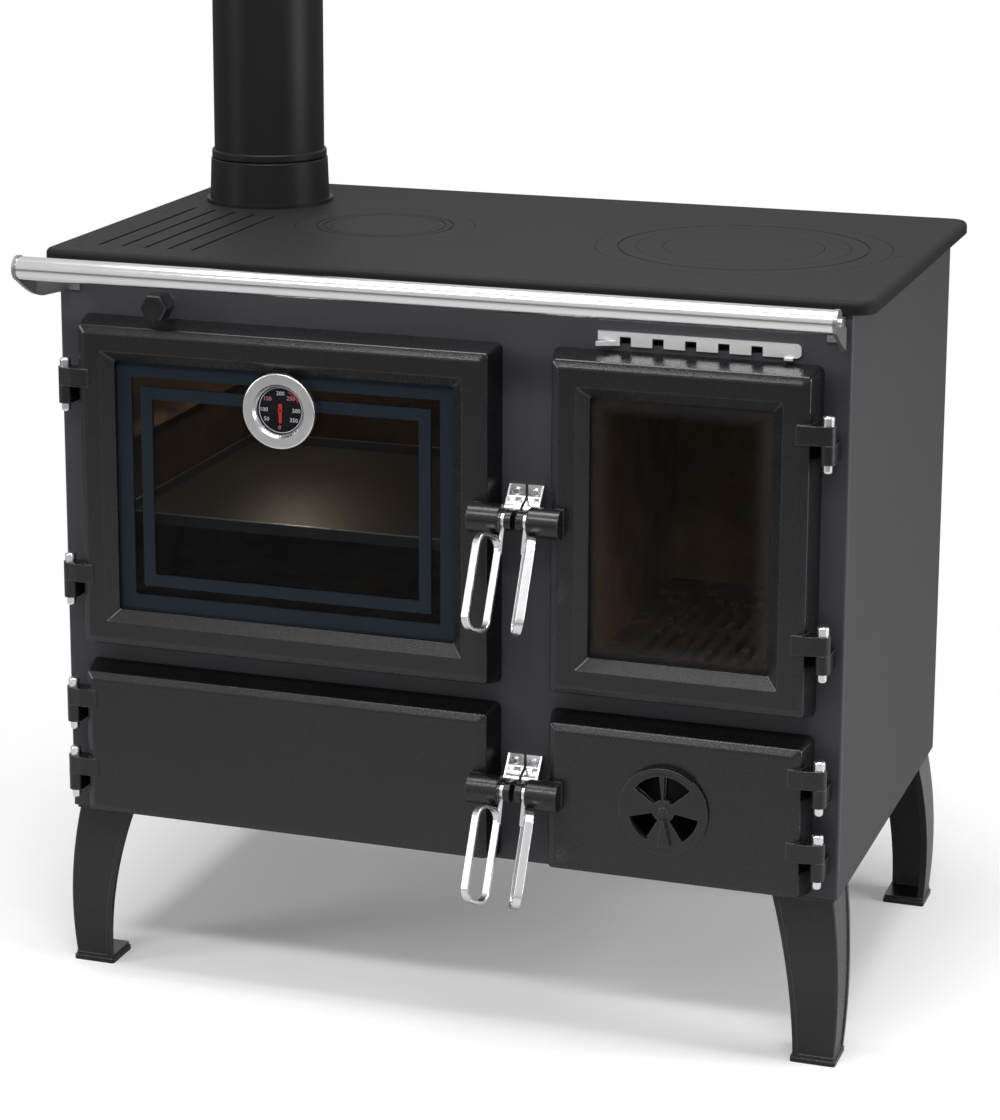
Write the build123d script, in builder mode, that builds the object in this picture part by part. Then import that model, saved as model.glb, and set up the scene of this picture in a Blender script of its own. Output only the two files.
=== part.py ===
"""Free-standing wood cookstove: firebox, oven, ash compartment and storage compartment
behind four cast doors, under a cast cooktop with two sets of lift-off rings.

Millimetres. X runs to the stove's right as seen from the front, Y runs to the back and Z up.
The origin is on the floor, at the middle of the stove's outline.
"""

from build123d import *
import os
from math import cos, degrees, atan2, radians, sin, tan

os.makedirs("parts", exist_ok=True)

# ================================================================ driving dimensions

# Body
body_width = 880.0
body_depth = 520.0
body_height = 624.0
leg_height = 186.0
panel_thickness = 8.0
side_thickness = 4.0
back_thickness = 3.0
back_flange = 14.0
base_thickness = 4.0
top_flange = 24.0
body_corner_radius = 3.0

# Cooktop
plate_thickness = 14.0
plate_side_overhang = 20.0
plate_front_overhang = 5.0
plate_back_overhang = 6.0
plate_corner_radius = 20.0
plate_edge_radius = 6.0
groove_count = 5
groove_width = 4.0
groove_depth = 1.5
groove_pitch = 27.5
groove_side_inset = 30.0
groove_front_inset = 40.0
groove_length = 262.0
groove_shortening = 7.0
plate_screw_radius = 2.0
plate_screw_head_radius = 4.0
plate_screw_length = 22.0
plate_screw_slot_width = 1.4
plate_screw_slot_depth = 1.2
plate_screw_side_inset = 10.0
plate_screw_end_inset = 30.0
plate_screw_front_inset = 175.0
countersink_angle = 82.0

# Lift-off cooking plates
left_plate_from_left_side = 281.0
left_plate_from_front = 263.0
left_ring_radius = 102.0
left_lid_radius = 60.0
left_inner_groove_radius = 69.0
left_outer_groove_radius = 78.0
right_plate_from_right_side = 180.0
right_plate_from_front = 260.0
right_ring_radius = 162.0
right_middle_ring_radius = 117.0
right_lid_radius = 88.0
right_groove_radius = 137.0
ring_ledge = 8.0
ring_step_depth = 7.0
ring_clearance = 0.5
ring_groove_width = 1.6
ring_groove_depth = 0.9

# Doors on the front panel
door_side_margin = 28.0
stile_width = 56.0
left_door_width = 482.0
upper_door_below_plate = 54.0
lower_door_height = 176.0
door_row_gap = 20.0
lower_door_lift = 2.0
door_gap = 0.5
door_depth = 34.0
door_slope_depth = 29.5
door_slope_inset = 7.0
door_bevel_inset = 15.0
door_back_corner_radius = 8.0
door_slope_corner_radius = 4.0
door_face_corner_radius = 2.5
door_face_ridge_radius = 5.0
door_slope_ridge_radius = 2.5
door_wall = 8.0
door_rim_width = 24.0
door_overlap = 22.0
panel_opening_radius = 6.0
moulding_inset = 34.0
window_inset = 46.0
window_bevel_depth = 11.0
window_ridge_radius = 5.0
window_wall = 6.0
pocket_radius = 3.0
glass_thickness = 4.0
glass_inset = 38.0
glass_clearance = 0.5
retainer_inset = 26.0
retainer_thickness = 2.0
retainer_width = 24.0
retainer_clearance = 0.5
retainer_rivet_inset = 6.0
retainer_rivet_radius = 3.6
retainer_rivet_height = 1.5
retainer_rivet_pitch = 110.0
seal_inset = 9.0
seal_width = 10.0
seal_depth = 7.5
seal_clearance = 0.3
seal_edge_radius = 3.0

# Door hinges: the pin's axis from the door's edge and from the panel's face
hinge_pin_from_door = 11.0
hinge_pin_standoff = 25.0
hinge_pin_radius = 5.0
hinge_pin_seat_clearance = 0.05
hinge_pin_running_clearance = 0.08
hinge_pin_end_radius = 3.6
hinge_pin_head_radius = 6.2
hinge_pin_head_gap = 0.3
hinge_pin_dome_radius = 3.0
knuckle_radius = 8.0
knuckle_height = 20.0
knuckle_gap = 0.3
pin_rise = 10.3
pin_drop = 10.2
upper_hinge_inset = 76.0
lower_hinge_inset = 48.0
hinge_arm_reach = 20.0
hinge_arm_proud = 2.0
hinge_arm_depth = 19.0

# Door latches
latch_standoff = 40.0
upper_latch_above_middle = 6.0
lower_latch_above_middle = 2.0
latch_boss_radius = 16.0
latch_boss_reach = 22.0
latch_boss_overhang = 13.0
latch_boss_edge_radius = 2.0
latch_spindle_radius = 5.0
latch_spindle_reach = 24.0
latch_bore_reach = 26.0
latch_spindle_clearance = 0.08
latch_gap = 0.5
latch_eye_thickness = 4.0
latch_eye_radius = 9.0
latch_cam_thickness = 7.0
latch_cam_radius = 11.0
cam_tooth_reach = 26.0
cam_tooth_drop = 3.0
cam_tooth_height = 6.0
handle_lean = 28.0
handle_turn = 67.0
handle_offset = 12.7
handle_start = 12.5
handle_length = 104.0
handle_half_width = 17.7
handle_strip_thickness = 3.5
handle_strip_width = 9.0
handle_strip_edge_radius = 0.8
handle_corner_radius = 15.0
handle_side_shift = 10.0
neck_width = 8.0
neck_meets_handle = 25.0

# Keepers on the stile between the doors
keeper_width = 17.5
keeper_spacing = 20.5
keeper_thickness = 2.5
keeper_top = 30.0
keeper_bend_top = 15.0
keeper_bend_radius = 4.0
keeper_lip_standoff = 21.0
keeper_lip_top = 9.0
keeper_lip_bottom = 2.0
keeper_web_thickness = 2.0
keeper_rivet_drop = 7.5
rivet_radius = 2.5
rivet_head_radius = 4.5
rivet_head_height = 2.4
rivet_tail_radius = 3.8
rivet_tail_height = 1.5

# Oven thermometer
thermometer_below_door_top = 86.0
thermometer_radius = 41.5
thermometer_body_radius = 38.0
thermometer_body_depth = 7.5
thermometer_bezel_depth = 7.0
thermometer_edge_radius = 2.0
thermometer_rim_radius = 29.5
thermometer_bore_radius = 26.3
thermometer_seat_depth = 1.0
dial_clearance = 0.1
dial_thickness = 1.0
lens_seat_height = 2.0
lens_ledge = 1.0
lens_thickness = 1.5
needle_length = 14.0
needle_tail = 7.0
needle_width = 4.2
needle_tip_width = 3.0
needle_thickness = 0.8
needle_float = 0.4
needle_hub_radius = 2.6
needle_pin_radius = 1.0
needle_running_clearance = 0.06
stem_radius = 4.0
stem_clearance = 0.5
stem_reach = 13.0

# Air wheel on the ash door
air_wheel_left_of_middle = 8.0
air_wheel_radius = 48.0
air_wheel_thickness = 4.0
air_wheel_gap = 0.4
air_port_inner_radius = 12.0
air_port_outer_radius = 38.0
air_port_half_angle = 24.0
air_port_upper_angle = 28.0
air_port_lower_angle = 125.5
air_wheel_rest_turn = 3.0
air_rim_width = 3.5
air_rim_height = 4.0
air_rim_half_angle = 37.0
air_rim_turn = -5.0
air_grip_half_angle = 10.0
air_grip_inner_radius = 10.0
air_grip_height = 5.0
air_hub_radius = 4.5
air_hub_height = 1.6
air_spigot_radius = 4.0
air_spigot_clearance = 0.08
air_spigot_tail_radius = 7.0
air_spigot_tail_height = 2.0

# Air slide above the fire door
air_slide_length = 214.0
air_slide_from_side = 52.0
air_slide_rise = 5.5
air_slide_height = 14.7
air_slide_thickness = 2.5
air_slide_gap = 0.4
air_slide_end_radius = 5.0
air_slot_count = 5
air_slot_pitch = 34.7
air_slot_width = 12.0
air_slot_height = 9.8
air_slot_from_end = 29.4
air_port_height = 6.0
air_finger_length = 20.0
air_finger_height = 5.0
air_finger_reach = 8.0
air_stop_tab_width = 9.0
air_stop_tab_drop = 2.2
air_stop_tab_inset = 8.0
air_stop_tab_reach = 6.0
air_slide_travel = 17.0
air_stud_drop = 3.4
air_stud_radius = 1.8
air_stud_clearance = 0.3
air_stud_washer_radius = 5.0
air_stud_washer_thickness = 1.5

# Smoke damper
damper_from_side = 131.0
damper_below_plate = 35.0
damper_rod_radius = 4.0
damper_rod_clearance = 0.3
damper_knob_standoff = 20.0
damper_knob_across_flats = 27.0
damper_knob_thickness = 24.0
damper_knob_bore_depth = 14.0
damper_knob_edge = 1.6
damper_plate_from_front = 330.0
damper_plate_width = 136.0
damper_plate_height = 66.0
damper_plate_thickness = 3.0
damper_plate_clearance = 0.3

# Flue
flue_from_side = 88.0
flue_from_front = 388.0
flue_hole_radius = 60.0
pipe_radius = 65.0
pipe_wall = 1.5
pipe_rise = 336.0
pipe_insert = 40.0
pipe_bead_radius = 68.0
pipe_bead_height = 10.0
collar_height = 52.0
collar_top_radius = 69.0
collar_base_radius = 71.0
collar_clearance = 0.3
collar_foot_radius = 75.0
collar_foot_height = 4.0
collar_edge_radius = 1.2

# Towel rail
rail_standoff = 90.0
rail_below_plate = 5.0
rail_radius = 12.5
rail_wall = 1.5
rail_side_overhang = 5.0
rail_end_thickness = 4.0
bracket_thickness = 4.0
bracket_disc_radius = 13.5
bracket_inset = 13.0
bracket_bend_start = 55.0
bracket_bend_end = 14.0
bracket_bend_radius = 16.0
bracket_foot_width = 18.0
bracket_foot_top = 10.0
bracket_foot_bottom = 38.0
bracket_throat = 18.0
bracket_throat_rise = 11.5
bracket_belly = 42.0
bracket_back = 50.0
bracket_back_drop = 4.0
rail_bolt_drop = 19.0
rail_bolt_radius = 2.5
rail_bolt_head_radius = 4.5
rail_bolt_head_height = 3.0
rail_bolt_length = 16.0
rail_end_screw_length = 7.5

# Legs
leg_top_width = 66.0
leg_foot_width = 43.0
leg_top_inset = 5.5
leg_bow = 4.0
leg_bow_height = 87.0
leg_waist_height = 95.0
leg_waist_flare = 7.0
leg_wall = 6.0
leg_corner_radius = 4.0
leg_bead_width = 5.5
leg_bead_proud = 1.4
leg_top_bead_height = 4.0
leg_pad_height = 5.0
leg_pad_proud = 3.0
leg_step_height = 4.0
leg_step_proud = 1.5
leg_pad_radius = 3.0
leg_flange_thickness = 5.0

# Oven, storage and ash housings
sheet_thickness = 3.0
oven_flange = 12.0
oven_depth = 430.0
housing_depth = 430.0
runner_count = 3
runner_pitch = 90.0
first_runner_height = 22.0
runner_width = 14.0
runner_height = 10.0
runner_thickness = 2.0
runner_setback = 12.0
tray_level = 1
tray_side_gap = 4.0
tray_height = 13.0
tray_wall = 1.5
tray_depth = 390.0
tray_setback = 12.0
tray_rest_gap = 0.3
tray_corner_radius = 8.0

# Firebox
brick_thickness = 30.0
brick_above_opening = 4.0
brick_gap = 0.6
fire_depth = 400.0
fire_floor_thickness = 12.0
fire_floor_below_sill = 8.0
grate_side_margin = 26.0
grate_depth = 300.0
grate_from_front = 60.0
grate_thickness = 8.0
grate_ledge = 8.0
grate_clearance = 1.0
grate_slot_width = 9.0
grate_slot_length = 120.0
grate_slot_side_margin = 8.0
grate_slot_column_pitch = 18.5
grate_slot_rows = 2
grate_slot_row_pitch = 136.0

# Ash drawer
drawer_height = 90.0
drawer_wall = 1.5
drawer_side_gap = 5.0
drawer_depth = 380.0
drawer_setback = 12.0
drawer_rest_gap = 0.3
drawer_corner_radius = 8.0
drawer_lip_width = 110.0
drawer_lip_reach = 9.0

# ================================================================ shared geometry


class Area:
    """A rectangle on the stove's front, in X and Z."""

    def __init__(self, left, right, bottom, top):
        self.left = left
        self.right = right
        self.bottom = bottom
        self.top = top
        self.width = right - left
        self.height = top - bottom
        self.x = (left + right) / 2
        self.z = (bottom + top) / 2

    def inset(self, distance):
        """The area that is left inside a border of this width."""
        return Area(
            self.left + distance,
            self.right - distance,
            self.bottom + distance,
            self.top - distance,
        )


class DoorPlace:
    """Where a door hangs: its outline, its hinge pins and its latch."""

    def __init__(self, area, hinge_side, hinge_inset, latch_z):
        self.area = area
        self.hinge_side = hinge_side
        self.latch_side = -hinge_side
        self.hinge_edge = area.right if hinge_side > 0 else area.left
        self.latch_edge = area.left if hinge_side > 0 else area.right
        self.pin_x = self.hinge_edge + hinge_side * hinge_pin_from_door
        self.hinge_levels = (area.bottom + hinge_inset, area.top - hinge_inset)
        self.latch_z = latch_z


def handle_down():
    """The way a latch handle hangs at rest: down and away from the stove."""
    lean = radians(handle_lean)
    return Vector(0, -sin(lean), -cos(lean))


def handle_across(side):
    """The way across a handle's loop, from the arm near the stove to the arm near the room."""
    lean = radians(handle_lean)
    turn = radians(handle_turn)
    forward = Vector(0, -cos(lean), sin(lean))
    return Vector(-side * cos(turn), 0, 0) + forward * sin(turn)


def handle_loop(origin, side):
    """One strip on edge, bent into a long closed loop that hangs from this point."""
    across = handle_across(side)
    loop_plane = Plane(origin, x_dir=across, z_dir=across.cross(handle_down()))
    outer_width = 2 * handle_half_width + handle_strip_thickness
    inner_width = 2 * handle_half_width - handle_strip_thickness
    inner_length = handle_length - 2 * handle_strip_thickness
    with BuildPart() as loop:
        with BuildSketch(loop_plane):
            with Locations((0, handle_start + handle_length / 2)):
                RectangleRounded(outer_width, handle_length, handle_corner_radius)
                RectangleRounded(
                    inner_width,
                    inner_length,
                    handle_corner_radius - handle_strip_thickness,
                    mode=Mode.SUBTRACT,
                )
        extrude(amount=handle_strip_width / 2, both=True)
        rims = loop.faces().filter_by(lambda face: len(face.inner_wires()) == 1)
        fillet(rims.edges(), handle_strip_edge_radius)
    return loop


# The stove's outline in Y runs from the front of its handles or rail to the cooktop's back
hanging_loop = handle_loop(Vector(0, -latch_standoff - handle_offset, 0), 1)
handle_reach = -hanging_loop.part.bounding_box().min.Y
rail_reach = rail_standoff + bracket_disc_radius
front_reach = max(handle_reach, rail_reach)
front_y = (front_reach - body_depth - plate_back_overhang) / 2
back_y = front_y + body_depth
inner_y = front_y + panel_thickness

half_width = body_width / 2
base_z = leg_height
floor_top = base_z + base_thickness
body_top = base_z + body_height
cooktop_z = body_top + plate_thickness

right_door_width = body_width - 2 * door_side_margin - stile_width - left_door_width
lower_bottom = base_z + lower_door_lift
lower_top = lower_bottom + lower_door_height
upper_bottom = lower_top + door_row_gap
upper_top = body_top - upper_door_below_plate
left_column = -half_width + door_side_margin
left_column_end = left_column + left_door_width
right_column = left_column_end + stile_width
right_column_end = right_column + right_door_width
stile_x = (left_column_end + right_column) / 2

oven_area = Area(left_column, left_column_end, upper_bottom, upper_top)
storage_area = Area(left_column, left_column_end, lower_bottom, lower_top)
fire_area = Area(right_column, right_column_end, upper_bottom, upper_top)
ash_area = Area(right_column, right_column_end, lower_bottom, lower_top)
oven_inside = oven_area.inset(door_overlap)
storage_inside = storage_area.inset(door_overlap)
fire_inside = fire_area.inset(door_overlap)
ash_inside = ash_area.inset(door_overlap)

upper_latch_z = oven_area.z + upper_latch_above_middle
lower_latch_z = storage_area.z + lower_latch_above_middle
oven_place = DoorPlace(oven_area, -1, upper_hinge_inset, upper_latch_z)
storage_place = DoorPlace(storage_area, -1, lower_hinge_inset, lower_latch_z)
fire_place = DoorPlace(fire_area, 1, upper_hinge_inset, upper_latch_z)
ash_place = DoorPlace(ash_area, 1, lower_hinge_inset, lower_latch_z)
all_places = (oven_place, storage_place, fire_place, ash_place)

# Depths in a door run forwards from the front panel's face
glass_front = door_depth - window_bevel_depth - window_wall
glass_back = glass_front - glass_thickness
hinge_y = front_y - hinge_pin_standoff
latch_y = front_y - latch_standoff


def front(depth):
    """A sketch plane facing the room, this far in front of the panel's face."""
    return Plane.XZ.offset(depth - front_y)


def level(height):
    """A sketch plane facing up, this high above the floor."""
    return Plane.XY.offset(height)


def across_at(x):
    """A sketch plane facing right, with Y across it and Z up it."""
    return Plane.YZ.offset(x)


def turning_plane(x, z):
    """A sketch plane for turned shapes on the front: radius across, depth up the sketch."""
    return Plane(origin=(x, front_y, z), x_dir=(1, 0, 0), z_dir=(0, 0, -1))


def turning_axis(x, z):
    """The axis that goes with a turning plane."""
    return Axis((x, front_y, z), (0, -1, 0))


def area_block(area, corner_radius=0.0, mode=Mode.ADD):
    """Draws an area into the sketch that is open."""
    with Locations((area.x, area.z)):
        if corner_radius > 0:
            RectangleRounded(area.width, area.height, corner_radius, mode=mode)
        else:
            Rectangle(area.width, area.height, mode=mode)


def ring_sector(x, y, inner_radius, outer_radius, middle_angle, half_angle):
    """A slice of a flat ring, loose from any sketch."""
    start = middle_angle - half_angle
    with BuildSketch(Plane.XY) as sector:
        with BuildLine():
            inner = CenterArc((x, y), inner_radius, start, 2 * half_angle)
            outer = CenterArc((x, y), outer_radius, start, 2 * half_angle)
            Line(inner @ 0, outer @ 0)
            Line(inner @ 1, outer @ 1)
        make_face()
    return sector.sketch


def finish(piece, name):
    """Labels a finished piece and writes it."""
    piece.part.label = name
    export_step(piece.part, "parts/" + name + ".step")


# ================================================================ cooktop

left_plate_centre = (-half_width + left_plate_from_left_side, front_y + left_plate_from_front)
right_plate_centre = (half_width - right_plate_from_right_side, front_y + right_plate_from_front)
flue_centre = (-half_width + flue_from_side, front_y + flue_from_front)
plate_width = body_width + 2 * plate_side_overhang
plate_depth = body_depth + plate_front_overhang + plate_back_overhang
plate_middle_y = (front_y - plate_front_overhang + back_y + plate_back_overhang) / 2
ring_seat_z = cooktop_z - ring_step_depth

plate_screw_x = half_width - plate_screw_side_inset
plate_screw_rows = (
    front_y + plate_screw_end_inset,
    (front_y + back_y) / 2,
    back_y - plate_screw_end_inset,
)
plate_screw_front_x = half_width - plate_screw_front_inset
panel_middle_y = front_y + panel_thickness / 2
plate_screw_places = [(x, y) for x in (-plate_screw_x, plate_screw_x) for y in plate_screw_rows]
plate_screw_places += [(x, panel_middle_y) for x in (-plate_screw_front_x, plate_screw_front_x)]
countersink_height = (plate_screw_head_radius - plate_screw_radius) / tan(radians(countersink_angle / 2))

with BuildPart() as cooktop_plate:
    with BuildSketch(level(body_top)):
        with Locations((0, plate_middle_y)):
            RectangleRounded(plate_width, plate_depth, plate_corner_radius)
    extrude(amount=plate_thickness)
    fillet(cooktop_plate.faces().sort_by(Axis.Z)[-1].edges(), plate_edge_radius)
    with BuildSketch(level(cooktop_z)):
        for row in range(groove_count):
            length = groove_length - row * groove_shortening
            groove_x = -half_width + groove_side_inset + row * groove_pitch
            with Locations((groove_x, front_y + groove_front_inset + length / 2)):
                SlotOverall(length, groove_width, rotation=90)
    extrude(amount=-groove_depth, mode=Mode.SUBTRACT)
    with Locations((*left_plate_centre, cooktop_z)):
        CounterBoreHole(left_ring_radius - ring_ledge, left_ring_radius + ring_clearance, ring_step_depth)
    with Locations((*right_plate_centre, cooktop_z)):
        CounterBoreHole(
            right_ring_radius - ring_ledge, right_ring_radius + ring_clearance, ring_step_depth
        )
    with Locations((*flue_centre, cooktop_z)):
        Hole(flue_hole_radius)
    with Locations([(x, y, cooktop_z) for x, y in plate_screw_places]):
        CounterSinkHole(
            plate_screw_radius, plate_screw_head_radius, counter_sink_angle=countersink_angle
        )
finish(cooktop_plate, "cooktop_plate")

with BuildPart() as cooktop_screws:
    with Locations([(x, y, cooktop_z) for x, y in plate_screw_places]):
        Cone(
            plate_screw_radius,
            plate_screw_head_radius,
            countersink_height,
            align=(Align.CENTER, Align.CENTER, Align.MAX),
        )
        Cylinder(
            plate_screw_radius,
            plate_screw_length,
            align=(Align.CENTER, Align.CENTER, Align.MAX),
        )
        Box(
            2 * plate_screw_head_radius,
            plate_screw_slot_width,
            plate_screw_slot_depth,
            align=(Align.CENTER, Align.CENTER, Align.MAX),
            mode=Mode.SUBTRACT,
        )
finish(cooktop_screws, "cooktop_screws")


def cooking_ring(centre, outer_radius, inner_radius, groove_radii):
    """A cast ring that hangs by its rim, and seats the next ring or lid inside it."""
    x, y = centre
    with BuildPart() as ring:
        with BuildSketch(level(ring_seat_z)):
            with Locations((x, y)):
                Circle(outer_radius)
        extrude(amount=ring_step_depth)
        with BuildSketch(level(body_top)):
            with Locations((x, y)):
                Circle(outer_radius - ring_ledge - ring_clearance)
        extrude(amount=plate_thickness - ring_step_depth)
        if inner_radius > 0:
            with Locations((x, y, cooktop_z)):
                CounterBoreHole(
                    inner_radius - ring_ledge, inner_radius + ring_clearance, ring_step_depth
                )
        if groove_radii:
            with BuildSketch(level(cooktop_z)):
                with Locations((x, y)):
                    for radius in groove_radii:
                        Circle(radius + ring_groove_width / 2)
                        Circle(radius - ring_groove_width / 2, mode=Mode.SUBTRACT)
            extrude(amount=-ring_groove_depth, mode=Mode.SUBTRACT)
    return ring


# The smaller circle comes last, so that it isn't cut away by the larger one's middle
left_ring_groove_radii = (left_outer_groove_radius, left_inner_groove_radius)
left_cooking_ring = cooking_ring(
    left_plate_centre, left_ring_radius, left_lid_radius, left_ring_groove_radii
)
finish(left_cooking_ring, "left_cooking_ring")

left_cooking_lid = cooking_ring(left_plate_centre, left_lid_radius, 0, ())
finish(left_cooking_lid, "left_cooking_lid")

right_outer_ring = cooking_ring(
    right_plate_centre, right_ring_radius, right_middle_ring_radius, (right_groove_radius,)
)
finish(right_outer_ring, "right_outer_ring")

right_inner_ring = cooking_ring(right_plate_centre, right_middle_ring_radius, right_lid_radius, ())
finish(right_inner_ring, "right_inner_ring")

right_cooking_lid = cooking_ring(right_plate_centre, right_lid_radius, 0, ())
finish(right_cooking_lid, "right_cooking_lid")

# ================================================================ flue

with BuildPart() as flue_collar:
    with BuildSketch(level(cooktop_z)):
        with Locations(flue_centre):
            Circle(collar_base_radius)
    with BuildSketch(level(cooktop_z + collar_height)):
        with Locations(flue_centre):
            Circle(collar_top_radius)
    loft()
    fillet(flue_collar.faces().sort_by(Axis.Z)[-1].edges(), collar_edge_radius)
    with BuildSketch(level(cooktop_z)):
        with Locations(flue_centre):
            Circle(collar_foot_radius)
    extrude(amount=collar_foot_height)
    with Locations((*flue_centre, cooktop_z + collar_height)):
        CounterBoreHole(flue_hole_radius, pipe_radius + collar_clearance, pipe_insert)
finish(flue_collar, "flue_collar")

pipe_bottom = cooktop_z + collar_height - pipe_insert
pipe_bead_bottom = cooktop_z + collar_height + collar_clearance
with BuildPart() as flue_pipe:
    with BuildSketch(level(pipe_bottom)):
        with Locations(flue_centre):
            Circle(pipe_radius)
    extrude(amount=cooktop_z + pipe_rise - pipe_bottom)
    with BuildSketch(level(pipe_bead_bottom)):
        with Locations(flue_centre):
            Circle(pipe_bead_radius)
    extrude(amount=pipe_bead_height)
    round_edges = flue_pipe.edges().filter_by(GeomType.CIRCLE)
    bead_edges = round_edges.filter_by(lambda edge: edge.radius > pipe_radius + pipe_wall / 2)
    fillet(bead_edges, 0.8 * (pipe_bead_radius - pipe_radius))
    with BuildSketch(level(pipe_bottom)):
        with Locations(flue_centre):
            Circle(pipe_radius - pipe_wall)
    extrude(amount=cooktop_z + pipe_rise - pipe_bottom, mode=Mode.SUBTRACT)
finish(flue_pipe, "flue_pipe")

# ================================================================ body shell

air_slide_end = half_width - air_slide_from_side
air_slide_start = air_slide_end - air_slide_length
air_slide_bottom = upper_top + air_slide_rise
air_slide_area = Area(
    air_slide_start, air_slide_end, air_slide_bottom, air_slide_bottom + air_slide_height
)
air_slot_columns = [
    air_slide_start + air_slot_from_end + index * air_slot_pitch for index in range(air_slot_count)
]
air_stud_z = air_slide_area.top - air_stud_drop
air_stud_places = [
    ((air_slot_columns[0] + air_slot_columns[1]) / 2, air_stud_z),
    ((air_slot_columns[-2] + air_slot_columns[-1]) / 2, air_stud_z),
]

damper_x = -half_width + damper_from_side
damper_z = body_top - damper_below_plate

keeper_columns = (stile_x - keeper_spacing / 2, stile_x + keeper_spacing / 2)
keeper_rivet_places = [
    (x, z + keeper_top - keeper_rivet_drop)
    for x in keeper_columns
    for z in (upper_latch_z, lower_latch_z)
]

rail_z = cooktop_z - rail_below_plate
bracket_outer_x = half_width + rail_side_overhang
bracket_foot_x = bracket_outer_x - bracket_inset - bracket_foot_width / 2
rail_bolt_z = rail_z - rail_bolt_drop
rail_bolt_places = [(-bracket_foot_x, rail_bolt_z), (bracket_foot_x, rail_bolt_z)]

with BuildPart() as front_panel:
    with BuildSketch(front(0)):
        area_block(Area(-half_width, half_width, base_z, body_top))
    extrude(amount=-panel_thickness)
    front_uprights = front_panel.edges().filter_by(Axis.Z).group_by(Axis.Y)[0]
    fillet(front_uprights, body_corner_radius)
    with BuildSketch(front(0)):
        for inside in (oven_inside, storage_inside, fire_inside, ash_inside):
            area_block(inside, panel_opening_radius)
        with Locations([(x, air_slide_bottom + air_slot_height / 2) for x in air_slot_columns]):
            Rectangle(air_slot_width, air_port_height)
        with Locations([(x + air_slide_travel / 2, z) for x, z in air_stud_places]):
            SlotCenterToCenter(air_slide_travel, 2 * (air_stud_radius + air_stud_clearance))
        with Locations((damper_x, damper_z)):
            Circle(damper_rod_radius + damper_rod_clearance)
        with Locations(keeper_rivet_places):
            Circle(rivet_radius)
        with Locations(rail_bolt_places):
            Circle(rail_bolt_radius)
    extrude(amount=-panel_thickness, mode=Mode.SUBTRACT)
    with Locations([(x, panel_middle_y, body_top) for x in (-plate_screw_front_x, plate_screw_front_x)]):
        Hole(plate_screw_radius, depth=plate_screw_length)
finish(front_panel, "front_panel")


def side_panel(side):
    """A flat side with a flange folded in under the cooktop."""
    wall_x = side * (half_width - side_thickness / 2)
    flange_x = side * (half_width - top_flange / 2)
    panel_depth = body_depth - panel_thickness - back_flange
    middle_y = inner_y + panel_depth / 2
    with BuildPart() as panel:
        with BuildSketch(level(base_z)):
            with Locations((wall_x, middle_y)):
                Rectangle(side_thickness, panel_depth)
        extrude(amount=body_height)
        with BuildSketch(level(body_top)):
            with Locations((flange_x, middle_y)):
                Rectangle(top_flange, panel_depth)
        extrude(amount=-side_thickness)
        with BuildSketch(level(body_top)):
            with Locations([(side * plate_screw_x, y) for y in plate_screw_rows]):
                Circle(plate_screw_radius)
        extrude(amount=-side_thickness, mode=Mode.SUBTRACT)
    return panel


side_panel_left = side_panel(-1)
finish(side_panel_left, "side_panel_left")

side_panel_right = side_panel(1)
finish(side_panel_right, "side_panel_right")

with BuildPart() as back_panel:
    with BuildSketch(level(base_z)):
        with Locations((0, back_y - back_flange / 2)):
            Rectangle(body_width, back_flange)
    extrude(amount=body_height)
    rear_uprights = back_panel.edges().filter_by(Axis.Z).group_by(Axis.Y)[-1]
    fillet(rear_uprights, body_corner_radius)
    with BuildSketch(level(base_z)):
        with Locations((0, back_y - back_thickness - back_flange / 2)):
            Rectangle(body_width - 2 * back_thickness, back_flange)
    extrude(amount=body_height, mode=Mode.SUBTRACT)
finish(back_panel, "back_panel")

base_depth = back_y - back_thickness - inner_y
with BuildPart() as base_panel:
    with BuildSketch(level(base_z)):
        with Locations((0, inner_y + base_depth / 2)):
            Rectangle(body_width - 2 * side_thickness, base_depth)
    extrude(amount=base_thickness)
finish(base_panel, "base_panel")

# ================================================================ legs


def leg_block(outward, inward):
    """The space inside a leg's outline from the front and from the side.

    The body's corner is at zero, the leg's outer faces look to -X and -Y, the outer edge is
    moved out by the first distance and the inner edge in by the second.
    """
    top_outer = (leg_top_inset - outward, base_z)
    knee = (-leg_bow - outward, leg_bow_height)
    foot_outer = (-outward, 0)
    foot_inner = (leg_foot_width - inward, 0)
    waist = (leg_foot_width + leg_waist_flare - inward, leg_waist_height)
    top_inner = (leg_top_inset + leg_top_width - inward, base_z)
    clear = leg_bow + outward + leg_top_inset
    reach = clear + leg_top_inset + leg_top_width - min(inward, 0)
    with BuildPart() as block:
        for plane, distance, mode in (
            (Plane.XZ.offset(clear), -reach, Mode.ADD),
            (Plane.YZ.offset(-clear), reach, Mode.INTERSECT),
        ):
            with BuildSketch(plane):
                with BuildLine():
                    ThreePointArc(top_outer, knee, foot_outer)
                    Line(foot_outer, foot_inner)
                    ThreePointArc(foot_inner, waist, top_inner)
                    Line(top_inner, top_outer)
                make_face()
            extrude(amount=distance, mode=mode)
    return block


# The outer block, what lies behind its two walls, and the space inside the edge beads
leg_outer = leg_block(0, 0)
leg_hollow = leg_block(-leg_wall, -leg_top_width)
leg_beaded = leg_block(leg_bead_proud, 0)
leg_between_beads = leg_block(2 * leg_bead_proud, leg_bead_width)

with BuildPart() as leg_edge_beads:
    add(leg_beaded.part)
    add(leg_between_beads.part, mode=Mode.SUBTRACT)

with BuildPart() as leg_top_beads:
    add(leg_beaded.part)
    with BuildSketch(Plane.XY):
        with Locations((leg_top_width / 2, leg_top_width / 2)):
            Rectangle(2 * leg_top_width, 2 * leg_top_width)
    extrude(amount=base_z - leg_top_bead_height, mode=Mode.SUBTRACT)

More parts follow.
